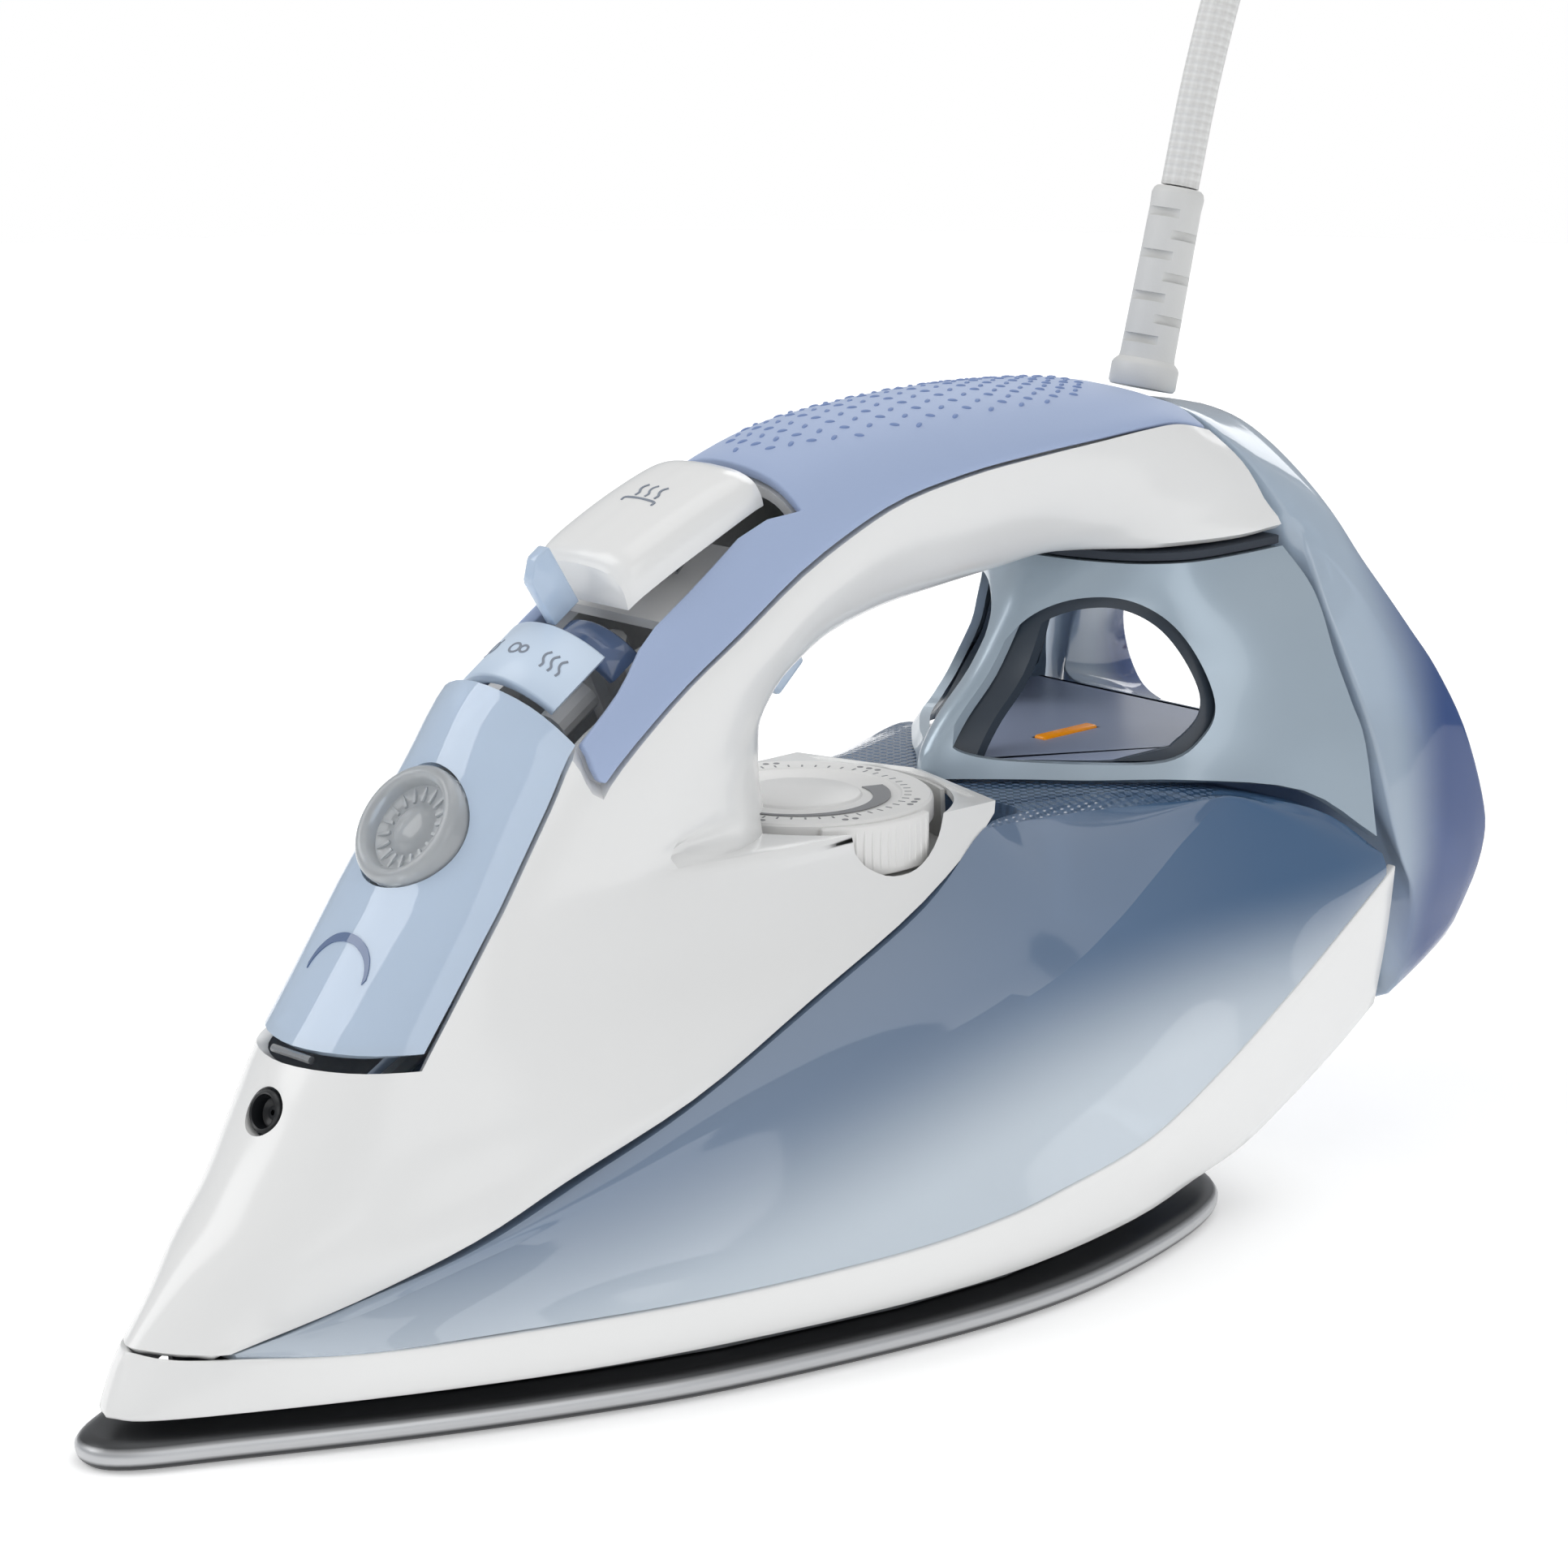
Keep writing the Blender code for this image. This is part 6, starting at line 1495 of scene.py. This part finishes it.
class IronSizes(bpy.types.PropertyGroup):
    housing_wall: bpy.props.FloatProperty(name="Housing wall", description="Thickness of the white shell",
                                          default=0.0021, min=0.001, max=0.003, unit="LENGTH")
    tank_wall: bpy.props.FloatProperty(name="Tank wall", description="Thickness of the tank",
                                       default=0.0013, min=0.0008, max=0.002, unit="LENGTH")
    dash_pitch: bpy.props.FloatProperty(name="Dash pitch",
                                        description="Distance between dashes across the grip",
                                        default=0.0034, min=0.002, max=0.01, unit="LENGTH")
    bushing_rows: bpy.props.IntProperty(name="Bushing rows", description="Rows of slots in the bushing",
                                        default=7, min=2, max=12)
    knob_flutes: bpy.props.IntProperty(name="Knob flutes", description="Ridges round the knob's dish",
                                       default=18, min=6, max=40)
    dial_ticks: bpy.props.IntProperty(name="Dial ticks", description="Lines of the dial's scale",
                                      default=46, min=6, max=90)
    air_light: bpy.props.FloatProperty(name="Air light", description="Strength of the studio's even light",
                                       default=0.55, min=0.0, max=4.0)


class IronColours(bpy.types.PropertyGroup):
    white: bpy.props.StringProperty(name="White", description="Housing, sRGB hex", default="#f0f0ef")
    grip: bpy.props.StringProperty(name="Grip", description="Soft grip, sRGB hex", default="#a9badb")
    clear: bpy.props.StringProperty(name="Clear blue", description="Door and lever, sRGB hex",
                                    default="#d6e9ff")
    # The tank's tones are painted light and shade: a lit low band, a shaded upper front and a darker shaded
    # rear.
    tank_lit_band: bpy.props.StringProperty(name="Tank, low", description="Lower band, sRGB hex",
                                       default="#e6f1fb")
    tank_shaded_front: bpy.props.StringProperty(name="Tank, high", description="Upper front, sRGB hex",
                                        default="#8296b0")
    tank_shaded_rear: bpy.props.StringProperty(name="Tank, heel", description="Upper rear, sRGB hex",
                                        default="#466a92")
    column: bpy.props.StringProperty(name="Column", description="Lacquer, sRGB hex", default="#b2c2cf")
    heel: bpy.props.StringProperty(name="Heel edge", description="Outer edge, sRGB hex",
                                   default="#3f5a94")
    cord: bpy.props.StringProperty(name="Lead", description="Sleeve, sRGB hex", default="#f3f3f1")


class IRON_OT_lead(bpy.types.Operator):
    """Makes the braided mains lead, its coil and its plug"""
    bl_idname = "iron.lead"
    bl_label = "Mains lead and plug"

    def execute(self, context):
        make_lead(context.scene.iron_sizes)
        return {"FINISHED"}


class IRON_OT_bushing(bpy.types.Operator):
    """Makes the slotted strain relief"""
    bl_idname = "iron.bushing"
    bl_label = "Swivel bushing"

    def execute(self, context):
        make_bushing(context.scene.iron_sizes)
        return {"FINISHED"}


class IRON_OT_soleplate(bpy.types.Operator):
    """Makes the soleplate with its steam vents"""
    bl_idname = "iron.soleplate"
    bl_label = "Soleplate"

    def execute(self, context):
        make_soleplate(context.scene.iron_sizes)
        return {"FINISHED"}


class IRON_OT_skirt(bpy.types.Operator):
    """Makes the white heat shield"""
    bl_idname = "iron.skirt"
    bl_label = "Heat shield"

    def execute(self, context):
        make_shield(context.scene.iron_sizes)
        return {"FINISHED"}


class IRON_OT_tank(bpy.types.Operator):
    """Makes the tinted water tank"""
    bl_idname = "iron.tank"
    bl_label = "Water tank"

    def execute(self, context):
        make_tank(context.scene.iron_sizes)
        return {"FINISHED"}


class IRON_OT_housing(bpy.types.Operator):
    """Makes the white housing with its loop handle"""
    bl_idname = "iron.housing"
    bl_label = "Housing"

    def execute(self, context):
        make_housing(context.scene.iron_sizes)
        return {"FINISHED"}


class IRON_OT_grip(bpy.types.Operator):
    """Makes the soft grip and its raised dashes"""
    bl_idname = "iron.grip"
    bl_label = "Soft grip"

    def execute(self, context):
        make_grip(context.scene.iron_sizes)
        return {"FINISHED"}


class IRON_OT_door(bpy.types.Operator):
    """Makes the clear filling door and its knob"""
    bl_idname = "iron.door"
    bl_label = "Filling door"

    def execute(self, context):
        make_door(context.scene.iron_sizes)
        return {"FINISHED"}


class IRON_OT_selector(bpy.types.Operator):
    """Makes the selector sleeve, its marks and its lever"""
    bl_idname = "iron.selector"
    bl_label = "Steam selector"

    def execute(self, context):
        make_selector(context.scene.iron_sizes)
        return {"FINISHED"}


class IRON_OT_button(bpy.types.Operator):
    """Makes the steam button and its mark"""
    bl_idname = "iron.button"
    bl_label = "Steam button"

    def execute(self, context):
        make_button(context.scene.iron_sizes)
        return {"FINISHED"}


class IRON_OT_trigger(bpy.types.Operator):
    """Makes the trigger and the spray nozzle"""
    bl_idname = "iron.trigger"
    bl_label = "Trigger and nozzle"

    def execute(self, context):
        make_trigger_and_nozzle(context.scene.iron_sizes)
        return {"FINISHED"}


class IRON_OT_dial(bpy.types.Operator):
    """Makes the dial, its scale, its tab and its well"""
    bl_idname = "iron.dial"
    bl_label = "Heat dial"

    def execute(self, context):
        make_dial(context.scene.iron_sizes)
        return {"FINISHED"}


class IRON_OT_column(bpy.types.Operator):
    """Makes the silver column and its dark liner"""
    bl_idname = "iron.column"
    bl_label = "Rear column"

    def execute(self, context):
        make_column(context.scene.iron_sizes)
        return {"FINISHED"}


class IRON_OT_pad(bpy.types.Operator):
    """Makes the pad and its amber light"""
    bl_idname = "iron.pad"
    bl_label = "Light pad"

    def execute(self, context):
        make_pad(context.scene.iron_sizes)
        return {"FINISHED"}


class IRON_OT_heel(bpy.types.Operator):
    """Makes the frame that the iron stands on"""
    bl_idname = "iron.heel"
    bl_label = "Heel frame"

    def execute(self, context):
        make_heel(context.scene.iron_sizes)
        return {"FINISHED"}


class IRON_OT_inside(bpy.types.Operator):
    """Gives the inner pieces their materials"""
    bl_idname = "iron.inside"
    bl_label = "Inner pieces"

    def execute(self, context):
        paint_kept_pieces(context.scene.iron_sizes)
        return {"FINISHED"}


class IRON_OT_studio(bpy.types.Operator):
    """Sets the floor, the light and the camera"""
    bl_idname = "iron.studio"
    bl_label = "Studio"

    def execute(self, context):
        make_studio(context.scene.iron_sizes)
        return {"FINISHED"}


OPERATORS = (IRON_OT_lead, IRON_OT_bushing, IRON_OT_soleplate, IRON_OT_skirt, IRON_OT_tank,
             IRON_OT_housing, IRON_OT_grip, IRON_OT_door, IRON_OT_selector, IRON_OT_button,
             IRON_OT_trigger, IRON_OT_dial, IRON_OT_column, IRON_OT_pad, IRON_OT_heel,
             IRON_OT_inside, IRON_OT_studio)


class IRON_PT_sidebar(bpy.types.Panel):
    bl_idname = "IRON_PT_sidebar"
    bl_label = "Steam Iron"
    bl_space_type = "VIEW_3D"
    bl_region_type = "UI"
    bl_category = "Iron"

    def draw(self, context):
        layout = self.layout
        for group in (context.scene.iron_sizes, context.scene.iron_colours):
            for key in group.__annotations__:
                layout.prop(group, key)
        for operator in OPERATORS:
            layout.operator(operator.bl_idname)


CLASSES = (IronSizes, IronColours, *OPERATORS, IRON_PT_sidebar)


def register():
    for made in CLASSES:
        bpy.utils.register_class(made)
    bpy.types.Scene.iron_sizes = bpy.props.PointerProperty(type=IronSizes)
    bpy.types.Scene.iron_colours = bpy.props.PointerProperty(type=IronColours)


def unregister():
    del bpy.types.Scene.iron_sizes
    del bpy.types.Scene.iron_colours
    for made in reversed(CLASSES):
        bpy.utils.unregister_class(made)


def main():
    register()
    for operator in OPERATORS:
        getattr(bpy.ops.iron, operator.bl_idname.split(".")[1])()


if __name__ == "__main__":
    main()
